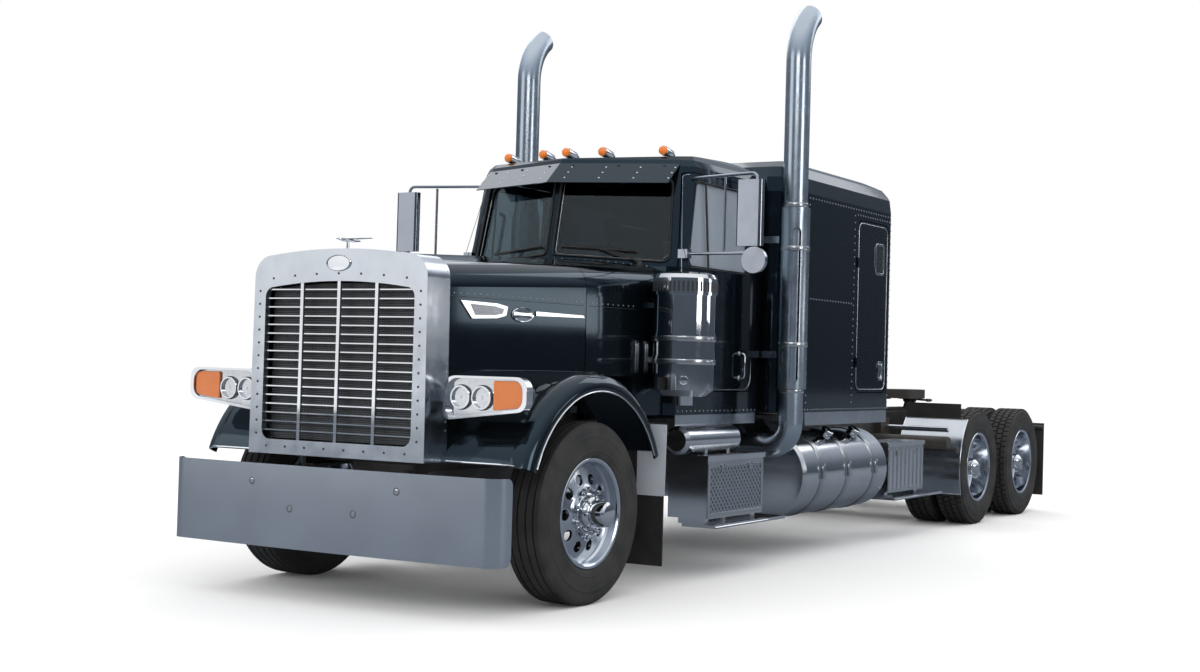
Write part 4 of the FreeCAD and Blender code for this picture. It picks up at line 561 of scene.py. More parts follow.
# %% Turn the tyres
def tyre_profile(groove_places, groove_depth, crown):
    # From one bead over the tread to the other and back inside
    wall = mm((-109, 313.2), (-118, 330), (-126, 338), (-131, 352), (-133.5, 366), (-136.5, 369),
              (-136.5, 373), (-135, 376), (-138.5, 400), (-140, 430), (-138.8, 452), (-140, 455),
              (-139.6, 460), (-137.2, 463), (-134, 492), (-134.5, 500), (-131, 512))
    wall += [(-0.122, crown - 0.010), (-0.112, crown - 0.002)]
    tread = []
    for place in groove_places:
        tread += [(place - 0.006, crown), (place - 0.004, crown - groove_depth),
                  (place + 0.004, crown - groove_depth), (place + 0.006, crown)]
    inside = mm((95, 345), (110, 430), (90, 505), (0, 515), (-90, 505), (-110, 430), (-95, 345),
                (-109, 313.2))
    return wall + tread + [(-x, radius) for x, radius in reversed(wall)] + inside


def drive_tyre():
    profile = tyre_profile((-0.060, 0.0, 0.060), 0.004, tyre_radius - 0.016)
    carcass = lathe(profile, origin, across, 96)
    rows = ((-0.093, 0.044, 0), (-0.031, 0.046, 1), (0.031, 0.046, 0), (0.093, 0.044, 1))
    blocks = []
    for x, width, turn in rows:
        lug = block((x - width / 2, -0.0235, tyre_radius - 0.022),
                    (x + width / 2, 0.0235, tyre_radius - 0.0006), 0.003, 1)
        blocks.append(copied(lug, around(60, turn / 2)))
    return joined([carcass] + blocks)


ribbed = tyre_profile((-0.078, -0.028, 0.028, 0.078), 0.014, tyre_radius)
steering_tyre = lathe(ribbed, origin, across, 96)
twin_tyre = drive_tyre()
for side, _ in sides:
    fitted(steering_tyre, "steer_tyre", "front", side, front_wheel_x, tyre_black, "front_tyre")
    for axle in drive_axles:
        for rank, x in (("outer", outer_dual_x), ("inner", inner_dual_x)):
            fitted(twin_tyre, axle + "_tyre_" + rank, axle, side, x, tyre_black, axle + "_tyres")
bpy.data.objects.remove(steering_tyre)
bpy.data.objects.remove(twin_tyre)

# %% [markdown]
# ## Rims and hubs
# Forged rims are turned from one blank, so they are turned here too: barrel, flanges
# and disc in a single closed profile, then ten hand holes are cut through the disc
# and a ring of nuts is set round the hub. The front disc bulges outward and the twin
# drive discs lie back to back, which is why the outer one looks so deep.

# %% Turn the rims
rim_half = 0.125
flange_radius = 0.328
seat_radius = 0.3127
nut_circle = 0.1425


def rim_turning(joint, dish):
    # Flanges and bead seats, the disc between its joint and its dish, and the back
    wall = seat_radius - 0.012
    lip = [(-rim_half, flange_radius - 0.003), (0.003 - rim_half, flange_radius),
           (0.006 - rim_half, flange_radius - 0.002), (0.014 - rim_half, seat_radius)]
    lip += [(-x, radius) for x, radius in reversed(lip)]
    lip += [(rim_half - 0.001, wall + 0.010), (rim_half - 0.008, wall)]
    slope = 0.012 if dish > joint else -0.012
    outer, inner = dish + 0.008, dish - 0.008
    disc = [(joint + 0.024, wall), (joint + 0.011, wall - 0.010), (outer - slope, 0.175),
            (outer, 0.155), (outer, 0.095), (inner, 0.095), (inner, 0.152),
            (inner - slope, 0.172), (joint - 0.011, wall - 0.010), (joint - 0.024, wall)]
    back = [(0.008 - rim_half, wall), (0.001 - rim_half, wall + 0.010), lip[0]]
    return lathe(lip + disc + back, origin, across, 96)


def hand_holes(x, length):
    radius, circle = 0.033, 0.205
    drill = [(x - length, 0.0), (x - length, radius), (x + length, radius), (x + length, 0.0)]
    hole = lathe(drill, (0, circle, 0), across, 24)
    return copied(hole, around(10))


def turned_ring(profile, circle, count, offset=0.0):
    # Six-sided heads set round the axle
    return copied(lathe(profile, (0, circle, 0), across, 6, 20), around(count, offset))


def wheel_nuts(x):
    # Flanged nuts with their stud ends
    profile = mm((0, 0), (0, 21), (4, 21), (6, 16.5), (24, 15.5), (28, 11), (36, 11), (38, 9),
                 (38, 0))
    return turned_ring([(x + along, radius) for along, radius in profile], nut_circle, 10, 0.5)


def front_rim():
    rim = cut_away(rim_turning(0.045, 0.084), hand_holes(0.07, 0.05))
    return joined([rim, wheel_nuts(0.092)])


def front_hub():
    cover = lathe(mm((55, 34.5), (55, 118), (94, 120), (100, 118), (104, 112), (140, 106),
                     (152, 98), (158, 88), (215, 78), (238, 72), (250, 60), (255, 40), (255.5, 0),
                     (125.5, 0), (125, 34.5), (55, 34.5)), origin, across, 64)
    bolts = turned_ring(mm((140, 0), (140, 12), (160, 12), (163, 9), (163, 0)), 0.097, 8)
    return joined([cover, bolts])


def drive_rim_pair():
    # Measured from the plane where the two discs meet
    rim_moves = [shift((0.165, 0, 0)), shift((-0.165, 0, 0)) @ flip_x]
    pair = copied(rim_turning(-0.058, -0.157), rim_moves)
    return joined([cut_away(pair, hand_holes(0.0, 0.13)), wheel_nuts(0.016)])


def drive_hub():
    drum = mm((-250, 50.5), (-250, 186), (-244, 190), (-200, 190), (-196, 186), (-190, 190),
              (-126, 190), (-120, 184), (-90, 128), (16, 120))
    cap = mm((22, 118), (30, 112), (112, 104), (122, 98), (128, 90), (236, 76), (256, 70), (286, 40),
             (300, 12), (303, 0), (101, 0), (100, 50.5), (-250, 50.5))
    return lathe(drum + cap, origin, across, 64)


patterns = [front_rim(), front_hub(), drive_rim_pair(), drive_hub()]
dual_joint_x = (outer_dual_x + inner_dual_x) / 2
for side, _ in sides:
    fitted(patterns[0], "steer_rim", "front", side, front_wheel_x, wheel_polish, "front_rim")
    fitted(patterns[1], "steer_hub", "front", side, front_wheel_x, chrome, "front_rim")
    for axle in drive_axles:
        rims = axle + "_rims"
        fitted(patterns[2], axle + "_rim_pair", axle, side, dual_joint_x, wheel_polish, rims)
        fitted(patterns[3], axle + "_hub", axle, side, dual_joint_x, chrome, rims)
for pattern in patterns:
    bpy.data.objects.remove(pattern)

# %% [markdown]
# ## Grille, lamps and bumper trim
# Studs hold the chrome surround, a fine wire screen with its gaps painted near black as
# the shade behind it sits behind the louvres, and each lamp pod carries two reflectors, a
# turn signal and a clear cover. The bumper gets a bright roll, and bolts ringed by dark
# discs of painted shade where recesses round them would be. Each stud is dropped along a
# straight line onto the body under it, so it sits on curved sheet without measuring. They
# could be painted on as dots, but then they would catch no light.

# %% Studs, rounded outlines and rows
def studded(node, starts, direction, radius, height, steps=8):
    # A low domed head wherever a straight line meets the body
    stud = lathe([(-0.002, 0.0), (-0.002, radius), (height * 0.4, radius * 0.94),
                  (height * 0.85, radius * 0.6), (height, 0.0)], origin, upward, steps)
    spots = [met(node, start, direction) for start in starts]
    moves = [standing(*spot) for spot in spots if spot]
    print("studs on", node, len(moves), "of", len(starts))
    return copied(stud, moves)


def spaced(first, last, count):
    return [first + (last - first) * k / (count - 1) for k in range(count)]


def rounded(corners, radii, steps=4):
    # Closed flat outline whose corners turn along short curves
    points = []
    for k, corner in enumerate(corners):
        corner = Vector(corner)
        before = Vector(corners[k - 1]) - corner
        after = Vector(corners[(k + 1) % len(corners)]) - corner
        radius = radii[k] if isinstance(radii, (list, tuple)) else radii
        first = corner + before.normalized() * radius
        last = corner + after.normalized() * radius
        for step in range(steps + 1):
            t = step / steps
            points.append(first * (1 - t) ** 2 + corner * 2 * t * (1 - t) + last * t ** 2)
    return points


def rectangle(first, last, low, high):
    return [(first, low), (first, high), (last, high), (last, low)]


def on_front(points, y):
    # Flat points (x, z) at a station
    return [at(x, y, z) for x, z in points]


def on_side(points, x):
    # Flat points (station, z) at a distance from the middle
    return [at(x, y, z) for y, z in points]


def on_top(points, z):
    return [at(x, y, z) for x, y in points]


# %% Frames and lines laid on a body
def drawn_line(points, merge, closed=True):
    start_outline(points + [points[0]] if closed else points)
    bpy.ops.mesh.remove_doubles(threshold=merge)
    bpy.ops.object.mode_set(mode="OBJECT")
    return bpy.context.object


def ring(outer, inner, depth, edge):
    # Flat frame between two outlines with equal counts of points
    piece = joined([drawn_line([Vector(p) for p in outline], 1e-6) for outline in (outer, inner)])
    bpy.ops.object.mode_set(mode="EDIT")
    bpy.ops.mesh.select_all(action="SELECT")
    bpy.ops.mesh.bridge_edge_loops()
    bpy.ops.mesh.select_all(action="SELECT")
    bpy.ops.mesh.normals_make_consistent(inside=False)
    pulled(Vector(depth))
    return soften(settle(), edge)


def bead(points, radius, closed=True):
    # A line through the points, turned into a round cord of the given radius
    drawn_line([Vector(p) for p in points], 1e-5, closed)
    bpy.ops.object.transform_apply(location=True, rotation=True, scale=True)
    bpy.ops.object.convert(target="CURVE")
    line = bpy.context.object
    line.data.bevel_depth = radius
    line.data.bevel_resolution = 1
    line.data.use_fill_caps = True
    bpy.ops.object.convert(target="MESH")
    bpy.ops.object.mode_set(mode="EDIT")
    return settle(60)


def laid(node, starts, direction, lift=0.0):
    # The points where straight lines meet the body, raised along its surface
    spots = [met(node, start, direction) for start in starts]
    return [spot[0] + spot[1] * lift for spot in spots if spot]


# %% Grille surround, screen and ornament
def wire_screen():
    # Woven wire: two sets of fine bars, with the gaps between them painted near black as painted shade
    # of the dark space behind the screen
    finish, tree = new_finish("wire_screen", (0.02, 0.02, 0.022), 0.5, 0.45)
    bars = [between(tree, waves(tree, 27.0, direction), 0.0, 1.0, 0.62, 0.95)
            for direction in "XZ"]
    wire = worked(tree, "MAXIMUM", *bars)
    patterned(tree, wire, (0.006, 0.006, 0.007), (0.16, 0.165, 0.17), 0.0012)
    return finish


# Lines that look for a front start well ahead of it, and for a side well beside it
ahead, beside = -2, 1.6
nose = -0.87
arch = [(x, 1.902 - 0.034 * (x / 0.56) ** 2) for x in spaced(-0.50, 0.50, 7)]
sill = [(x, 0.888) for x in spaced(-0.52, 0.52, 8)]
posts = [(side * 0.602, z) for side in (-1, 1) for z in spaced(0.96, 1.80, 12)]
studs = studded("grille_shell", on_front(arch + sill + posts, ahead), aft, 0.0075, 0.005)
ready(studs, "grille_studs", cast_black, "hood")
crest = [(0.553, 1.815), (0.40, 1.833), (0.2, 1.846)]
screen = [(-0.553, 0.934), (0.553, 0.934)] + crest + [(0, 1.85)]
screen += [(-x, z) for x, z in reversed(crest)]
screen = plate(on_front(screen, -0.872), (0, 0.004, 0), 0.001)
ready(screen, "grille_screen", wire_screen(), "hood")
badge = lathe(mm((-6, 0), (-6, 47), (3, 48), (7, 45), (4, 41), (5.5, 20), (6, 0)), origin, fore, 40)
badge.data.transform(Matrix.Scale(1.95, 4, across))
place, _ = surface("grille_shell", at(0, ahead, 1.962), aft)
badge.data.transform(shift(place))
ready(badge, "grille_plate", chrome, "hood")
crown, _ = surface("grille_shell", at(0, nose, 2.5), down)
foot = lathe(mm((-4, 0), (-4, 24), (3, 23), (8, 10), (50, 6.5), (56, 0)), crown, upward, 20)
blade = lathe(mm((-115, 0), (-100, 5), (-50, 11), (0, 14), (50, 12), (75, 7), (85, 0)),
              at(0, nose, crown.z + 0.056), fore, 20)
wing = ((0.0, -0.90, 0.058), (0.125, -0.83, 0.066), (0.128, -0.80, 0.066), (0.0, -0.84, 0.058))
wing = plate([at(x, y, crown.z + lift) for x, y, lift in wing], (0, 0, 0.005), 0.002)
ready(joined([foot, blade, both(wing)]), "nose_ornament", chrome, "hood")

# %% Lamps in their pods
pod_face = -0.835
lamp_z = 1.216
bowl_y = pod_face + 0.022


def pod_outline(inset, y):
    corners = rectangle(0.700 + inset, 1.262 - 2 * inset, 1.085 + inset, 1.335 - inset)
    corners[3] = (1.262 - 2 * inset, 1.150 + inset)
    return on_front(rounded(corners, [0.060, 0.085, 0.075, 0.060], 6), y)


def lamp_pair(profile, steps):
    return [lathe(profile, at(x, bowl_y, lamp_z), fore, steps) for x in (0.808, 0.952)]


cover = plate(pod_outline(0.0135, pod_face + 0.0045), (0, 0.003, 0), 0.001)
ready(both(cover), "lamp_covers", lamp_glass, "hood")
trim_y = pod_face + 0.002
trim = ring(pod_outline(-0.001, trim_y), pod_outline(0.013, trim_y), (0, -0.003, 0), 0.001)
ready(both(trim), "lamp_surrounds", chrome, "hood")
bowls = lamp_pair(mm((-18, 0), (-17.5, 18), (-14, 38), (-6, 52), (2, 56.5), (6, 62), (2, 66),
                     (-22, 66), (-22, 0)), 48)
ready(both(*bowls), "lamp_bowls", chrome, "hood")
sleeves = lamp_pair(mm((-20, 65.5), (2, 65.5), (4, 68), (2, 71), (-20, 71), (-20, 65.5)), 48)
ready(both(*sleeves), "lamp_sleeves", frame_black, "hood")
bulbs = lamp_pair(mm((-18, 0), (-18, 17), (-8, 17.5), (-1, 13), (3, 6), (4, 0)), 28)
ready(both(*bulbs), "lamp_bulbs", lamp_glass, "hood")
signal = plate(on_front(rounded([(1.032, 1.148), (1.032, 1.313), (1.232, 1.313), (1.232, 1.168)],
                                [0.012, 0.012, 0.055, 0.045]), pod_face + 0.024), (0, -0.012, 0), 0.004)
ready(both(signal), "turn_signals", amber_lens, "hood")

# %% Bright edges of the fenders
low_edge, lip = [], []
for x in spaced(0.672, 1.180, 16):
    for z in spaced(0.690, 0.850, 33):
        spot = met("hood", at(x, ahead, z), aft)
        if spot and spot[0].y < station(-0.30):
            low_edge.append(spot[0] + Vector((0, -0.002, 0.004)))
            break
for degrees in spaced(24, 163, 57):
    turn = math.radians(degrees)
    for reach in spaced(0.690, 0.770, 41):
        start = at(2.0, -math.cos(turn) * reach, axle_z + math.sin(turn) * reach)
        spot = met("hood", start, inward)
        if spot and spot[0].x > 1.1:
            lip.append(spot[0])
            break
print("points along the fender's lower edge:", len(low_edge), "and along its wheel arch:", len(lip))
ready(both(bead(low_edge, 0.008, False)), "fender_strips", chrome, "hood")
ready(both(bead(lip, 0.006, False)), "fender_lips", chrome, "hood")

# %% Bumper roll and bolts
roll = on_front([(x, 0.781) for x in spaced(-1.195, 1.195, 41)], ahead)
roll = laid("bumper", roll, aft, -0.0076)
ready(bead(roll, 0.0075, False), "bumper_roll", chrome)


def bolt_heads(radius, heights):
    # The same low head at both pairs of bolts, each at its own height
    pairs = zip(((0.54, 0.684), (0.237, 0.539)), heights)
    return joined([studded("bumper", on_front([(x, z), (-x, z)], ahead), aft, radius, height, 20)
                   for (x, z), height in pairs])


domes = bolt_heads(0.017, (0.0012, 0.0010))
# Dark discs under the bolt heads: painted shade standing for the recesses round the bolts
seats = bolt_heads(0.023, (0.0004, 0.0004))
ready(seats, "bumper_bolt_shade_discs", frame_black)
ready(domes, "bumper_bolts", chrome)

# %% [markdown]
# ## Hood and cab trim
# The hood sides have a riveted seam and a bright wedge that runs back as a thin strip.
# Round the glass lie rubber beads, the wipers rest along the base of the screen, the
# drop visor is held by columns of studs, and five lamps with long chrome tails stand on
# the roof. Beads are drawn as lines on the body and given a round section, which
# follows a leaning pane better than a bent block would.

# %% Hood seam, rivets and side trim
seam_z, rivet_z = 1.785, 1.803
seamed = (("hood", "hood", -0.715, 0.480, 22), ("cab", "chassis", 0.530, 1.010, 9))
for node, body, first, last, count in seamed:
    line = on_side([(y, seam_z) for y in spaced(first, last, count)], beside)
    seam = bead(laid(node, line, inward, 0.0005), 0.0016, False)
    row = on_side([(y, rivet_z) for y in spaced(first + 0.03, last - 0.02, count)], beside)
    heads = studded(node, row, inward, 0.0055, 0.004)
    ready(both(seam), body + "_side_seam", seal_black, body)
    ready(both(heads), body + "_side_rivets", rivet_highlight_metal, body)
row = on_side([(-0.752, z) for z in spaced(1.02, 1.92, 20)], beside)
ready(both(studded("grille_shell", row, inward, 0.005, 0.0035)), "shell_edge_rivets", chrome, "hood")


def on_hood(points, sheet):
    # Trim sheet cut to a flat outline and pressed onto the leaning side
    spots = [surface("hood", start, inward) for start in on_side(points, beside)]
    lifted = [place + normal * 0.0006 for place, normal in spots]
    return plate(lifted, spots[-1][1] * sheet, 0.0012)


wedge = on_hood([(-0.640, 1.766), (-0.330, 1.760), (-0.235, 1.745), (-0.250, 1.690),
                 (-0.330, 1.672), (-0.540, 1.662)], 0.008)
inlay = on_hood([(-0.560, 1.748), (-0.345, 1.742), (-0.270, 1.728), (-0.285, 1.700),
                 (-0.345, 1.690), (-0.515, 1.684)], 0.0105)
strip = on_hood([(0.02, 1.728), (0.470, 1.722), (0.485, 1.706), (0.02, 1.700)], 0.007)
ready(both(wedge), "side_trim", chrome, "hood")
ready(both(inlay), "side_trim_inlay", brushed, "hood")
ready(both(strip), "side_strip", chrome, "hood")
spot = surface("hood", at(beside, -0.10, 1.702), inward)
oval = lathe(mm((-4, 0), (-4, 44), (6, 45), (11, 42), (8, 38), (9.5, 20), (10, 0)),
             origin, upward, 36)
oval.data.transform(standing(*spot) @ Matrix.Scale(2.2, 4, across))
ready(both(oval), "side_plates", chrome, "hood")
vents = []
for y in (1.030, 1.135):
    place, normal = surface("cab", at(beside, y, 1.475), inward)
    bars = [block((x - 0.006, -0.088, 0.005), (x + 0.006, 0.088, 0.011), 0.002)
            for x in (-0.012, 0.012)]
    vent = joined([block((-0.024, -0.105, -0.002), (0.024, 0.105, 0.006))] + bars)
    upright = Matrix(((0, 0, normal.x, 0), (1, 0, normal.y, 0), (0, 1, normal.z, 0),
                      (0, 0, 0, 1)))
    vent.data.transform(shift(place) @ upright)
    vents.append(vent)
ready(both(*vents), "cowl_latches", brushed)

# %% Screen beads and rivets
belt, eave = 2.090, 2.800
corners = [(0.034, belt + 0.085), (0.806, belt + 0.042), (0.760, eave - 0.100),
           (0.034, eave - 0.088)]
middle = Vector((0.42, 2.41))


def grown(distance, radii):
    # The pane's corners moved out from its middle, then rounded
    moved = [tuple(Vector(c) + (Vector(c) - middle).normalized() * distance) for c in corners]
    return rounded(moved, radii)


opening = on_front(grown(0.012, [0.028, 0.055, 0.055, 0.028]), 0.0)
ready(both(bead(laid("cab", opening, aft, 0.002), 0.009)), "screen_gaskets", seal_black)
inner = grown(0.003, [0.026, 0.052, 0.052, 0.026])
inner = on_front([(x * 0.985 + 0.006, z * 0.985 + 0.036) for x, z in inner], 0.0)
bright = bead(laid("windshield", inner, aft, 0.002), 0.003)
ready(both(bright), "screen_bright_beads", brushed)
row = on_top([(x, 1.12 + 0.29 * x / 0.866) for x in spaced(0.03, 0.80, 16)], 2.6)
ready(both(studded("cab", row, down, 0.0045, 0.003)), "screen_base_rivets", chrome)


# %% Wipers
def wiper():
    # Arm from its pivot outboard, blade resting along the base of the glass
    pivot, rise = surface("cab", at(0.655, 1.33, 2.6), down)
    cap = lathe(mm((-4, 0), (-4, 24), (12, 21), (22, 12), (30, 10), (30, 0)), pivot, rise, 20)
    spine = laid("windshield", on_front([(0.575, 2.195), (0.08, 2.225)], 0.0), aft, 0.016)
    hold = (spine[0] + spine[1]) / 2 + Vector((0, -0.006, 0))
    knee = (pivot + hold) / 2 + Vector((0.02, -0.020, 0.022))
    arm = tube([pivot + rise * 0.02, knee, hold], 0.0055, 0.06, 8, 4)
    edge = laid("windshield", on_front([(0.590, 2.190), (0.065, 2.220)], 0.0), aft, 0.006)
    return joined([cap, arm, bead(spine, 0.0065, False), bead(edge, 0.004, False)])


ready(both(wiper()), "wipers", frame_black)

# %% Visor studs, roof lamps and roof rivets
columns = [(x, z) for x in (0.10, 0.33, 0.56, 0.79) for z in (2.700, 2.742, 2.784)]
columns = on_front(columns, 0.5)
ready(both(studded("visor", columns, aft, 0.007, 0.004)), "visor_studs", chrome)


def roof_lamps(profile, y_ahead, direction, steps):
    # The same turned shape at each of the five lamps, which climb with the roof
    lamps = []
    for x, y in ((0.0, 1.44), (0.250, 1.52), (-0.250, 1.52), (0.656, 1.665), (-0.656, 1.665)):
        roof_z = 2.838 + (y - 1.10) / 1.52 * 0.102
        lamps.append(lathe(profile, at(x, y - y_ahead, roof_z + 0.040), direction, steps))
    return joined(lamps)


lenses = roof_lamps(mm((-2, 0), (-2, 32.5), (4, 33), (16, 28), (24, 16), (27, 0)), 0.060, fore, 24)
ready(lenses, "roof_lamp_lenses", amber_lens)
tails = roof_lamps(mm((0, 0), (0, 35), (30, 35.2), (75, 31), (120, 22.5), (155, 11), (172, 0)),
                   0.0605, (0, 1, -0.13), 28)
ready(tails, "roof_lamp_tails", chrome)
row = on_top([(x, y) for y in (1.72, 2.52) for x in spaced(-0.72, 0.72, 13)], 3.2)
ready(studded("cab", row, down, 0.005, 0.003), "roof_rivets", rivet_highlight_metal)
row = on_side([(y, 1.115) for y in spaced(1.42, 2.57, 20)], 1.4)
ready(both(studded("cab", row, inward, 0.0055, 0.004)), "cab_sill_rivets", chrome)

# %% [markdown]
# ## Doors and mirrors
# Each door gets a bright bead round its edge, a pull handle bent from rod, a lock and a
# rubber bead round its glass. The mirror heads get their silvered faces, flat in the
# tall head and domed in the round one. They ride with the doors, as on the real one.

# %% Door edge, handle, glass bead and mirror faces
def dressed_door(side, sign):
    node = "door_" + side
    out = Vector((sign, 0, 0))

    def line(points, lift, radius, closed=True):
        return bead(laid(node, on_side(points, sign * 1.4), -out, lift), radius, closed)

    place, _ = surface(node, at(sign * 1.4, 2.30, 1.435), -out)
    low, high = place + Vector((0, 0, -0.088)), place + Vector((0, 0, 0.088))
    handle = tube([low - out * 0.004, low + out * 0.045, high + out * 0.045, high - out * 0.004],
                  0.008, 0.022, 10, 4)
    foot = mm((-3, 0), (-3, 19), (4, 18), (8, 11), (8, 0))
    feet = [lathe(foot, end, out, 20) for end in (low, high)]
    lock = lathe(mm((-3, 0), (-3, 15), (6, 14), (7, 10), (4, 9), (4, 0)),
                 place + Vector((0, 0.075, -0.03)), out, 20)
    ready(joined([handle] + feet + [lock]), "door_handle_" + side, chrome, node)
    outline = rounded([(1.413, 1.262), (1.413, 2.05), (1.470, 2.30), (1.590, 2.742), (2.486, 2.742),
                       (2.486, 1.262)], [0.05, 0.05, 0.05, 0.03, 0.03, 0.12])
    ready(line(outline, 0.0005, 0.0028), "door_edge_" + side, brushed, node)
    pane = rounded([(1.513, 2.098), (1.664, 2.700), (2.420, 2.700), (2.420, 2.098)],
                   [0.04, 0.04, 0.06, 0.05])
    ready(line(pane, 0.001, 0.006), "door_glass_seal_" + side, seal_black, node)
    post = line([(1.80, 2.10), (1.80, 2.698)], 0.002, 0.008, False)
    ready(post, "quarter_glass_post_" + side, frame_black, node)
    head = rounded(rectangle(1.354, 1.516, 2.243, 2.647), 0.02)
    tall = plate(on_front([(sign * x, z) for x, z in head], 1.4605), (0, 0.0025, 0), 0.001)
    domed = lathe(mm((-2, 0), (-2, 82), (1, 80), (6, 55), (9, 25), (10, 0)),
                  at(sign * 1.460, 1.475, 2.135), aft, 36)
    ready(joined([tall, domed]), "mirror_faces_" + side, mirror_face, node)


for side, sign in sides:
    dressed_door(side, sign)

# %% [markdown]
# ## Sleeper, tanks and steps
# The sleeper is riveted sheet, so its rows of heads follow the frame under the skin.
# The bunk door gets a bright edge, a small framed window and a flush handle. Below,
# the tanks get caps and strap bolts, the step boxes a bright rim and latches, and the
# air cleaners straps and a row of intake slots. A row is only spacing along a line, and
# the drop onto the surface does the rest.

# %% Rivet rows of the sleeper
level_rows = ((2.712, 2.86, 4.56, 34), (1.118, 2.95, 4.58, 32), (1.955, 2.96, 3.78, 17),
              (2.672, 3.88, 4.54, 14))
rows = [(y, z) for z, first, last, count in level_rows for y in spaced(first, last, count)]
rows += [(y, z) for y in (3.822, 2.960, 4.585) for z in spaced(1.17, 2.66, 28)]
for side, sign in sides:
    heads = studded("sleeper", on_side(rows, sign * beside), (-sign, 0, 0), 0.0075, 0.0045, 6)
    ready(heads, "sleeper_rivets_" + side, rivet_highlight_metal)
back_rows = [(x, z) for z in (1.16, 1.955, 2.70) for x in spaced(-1.02, 1.02, 35)]
back_rows += [(x, z) for x in (-1.05, -0.35, 0.35, 1.05) for z in spaced(1.20, 2.66, 26)]
heads = studded("sleeper", on_front(back_rows, 6.0), fore, 0.0075, 0.0045, 6)
ready(heads, "sleeper_back_rivets", rivet_highlight_metal)

# %% Bunk doors
def dressed_bunk_door(side, sign):
    node = "bunk_door_" + side

    def outward(distance):
        return Vector((sign * distance, 0, 0))

    outline = rounded(rectangle(3.903, 4.502, 1.274, 2.614), 0.075, 6)
    edge = bead(laid(node, on_side(outline, sign * beside), outward(-1), 0.0006), 0.004)
    ready(edge, "bunk_door_edge_" + side, brushed, node)
    skin, _ = surface(node, at(sign * beside, 4.2, 2.0), outward(-1))

    def on_skin(corners, radius):
        return on_side(rounded(rectangle(*corners), radius), skin.x + sign * 0.0005)

    frame_in = on_skin((4.268, 4.422, 2.233, 2.457), 0.025)
    window = ring(on_skin((4.250, 4.440, 2.215, 2.475), 0.04), frame_in, outward(0.006), 0.002)
    ready(window, "bunk_window_frame_" + side, chrome, node)
    ready(plate(frame_in, outward(0.002), 0.0005), "bunk_window_" + side, dark_glass, node)
    cup_in = on_skin((4.370, 4.440, 1.360, 1.490), 0.02)
    cup = ring(on_skin((4.355, 4.455, 1.345, 1.505), 0.03), cup_in, outward(0.007), 0.002)
    pull = tube([at(skin.x + sign * depth, 4.405, z) for depth, z in
                 ((0.001, 1.370), (0.014, 1.370), (0.014, 1.480), (0.001, 1.480))], 0.005, 0.008, 8, 3)
    handle = joined([cup, plate(cup_in, outward(0.002), 0.0005), pull])
    ready(handle, "bunk_handle_" + side, chrome, node)


for side, sign in sides:
    dressed_bunk_door(side, sign)

# %% Tank caps, strap bolts and stack clamps
tank_x, tank_z, tank_radius = 0.876, 0.622, 0.328
lean = Vector((math.sin(math.radians(35)), 0, math.cos(math.radians(35))))
cap = mm((-10, 0), (-10, 58), (14, 56), (16, 50), (22, 50), (24, 62), (46, 61), (52, 54),
         (54, 20), (56, 0))
caps = [lathe(cap, at(tank_x, y, tank_z) + lean * tank_radius, lean, 36) for y in (3.50, 4.02)]
ready(both(*caps), "tank_caps", chrome)
bolts = []
for y in (3.200, 3.690, 4.230):
    lug = at(tank_x + 0.345, y, tank_z + 0.02)
    bolts.append(block(lug - Vector((0.010, 0.022, 0.05)), lug + Vector((0.006, 0.022, 0.05)), 0.004))
    bolts.append(lathe(mm((-4, 0), (-4, 11), (10, 11), (13, 8), (22, 8), (22, 0)),
                       lug + Vector((-0.002, 0, 0.048)), upward, 6, 20))
ready(both(*bolts), "strap_bolts", brushed)
clamps = []
for z, r in ((1.262, 0.093), (2.618, 0.093), (1.60, 0.1125), (2.30, 0.1125)):
    profile = [(-0.016, r - 0.004), (-0.016, r + 0.003), (-0.012, r + 0.0045),
               (0.012, r + 0.0045), (0.016, r + 0.003), (0.016, r - 0.004), (-0.016, r - 0.004)]
    clamps.append(lathe(profile, at(1.2, 2.61, z), upward, 48))
ready(both(*clamps), "stack_clamps", brushed)

# %% Step boxes and boards
box_face_x = 1.1502
step_boxes = ((1.465, 2.285), (4.655, 5.465))


def box_face(first, last):
    # Bright rim round the face, with two latches on its upper edge
    low, high, rim = 0.405, 0.785, 0.03
    outer = rounded(rectangle(first, last, low, high), 0.012)
    inner = rounded(rectangle(first + rim, last - rim, low + rim, high - rim), 0.010)
    pieces = [ring(on_side(outer, box_face_x), on_side(inner, box_face_x), (0.005, 0, 0), 0.0015)]
    for share in (0.25, 0.75):
        latch = at(box_face_x, first + (last - first) * share, high)
        for start, end in (mm((0, -22, -75), (10, 22, -20)), mm((8, -9, -68), (15, 9, -35))):
            pieces.append(block(latch + Vector(start), latch + Vector(end)))
    return joined(pieces)


ready(both(*[box_face(*box) for box in step_boxes]), "step_box_rims", brushed)
tread = on_side(rectangle(1.500, 2.250, 0.440, 0.750), box_face_x)
treads = [plate(tread, (0.0025, 0, 0), 0.0008)]
for y in (1.875, 5.06):
    for low_x, high_x, probe in ((0.87, 1.14, 1.13), (1.156, 1.196, 1.18)):
        top, _ = surface("side_steps", at(probe, y, 1.4), down)
        treads.append(block(at(low_x, y - 0.39, top.z - 0.001),
                            at(high_x, y + 0.39, top.z + 0.0025), 0.0008, 1))
ready(both(*treads), "step_treads", step_plate)
boards = [bead(on_side([(first, 0.349), (last, 0.349)], 1.2035), 0.0095, False)
          for first, last in ((1.48, 2.27), (4.67, 5.45))]
ready(both(*boards), "step_board_edges", chrome)

# %% Fender edges and splash panels
fender_radius = 0.623
fender_sides = (0.653, 1.259)


def on_fender(x, degrees):
    turn = math.radians(degrees)
    y, z = fender_radius * math.cos(turn), fender_radius * math.sin(turn)
    return at(x, axle_stations["drive_1"] - y, axle_z + z)


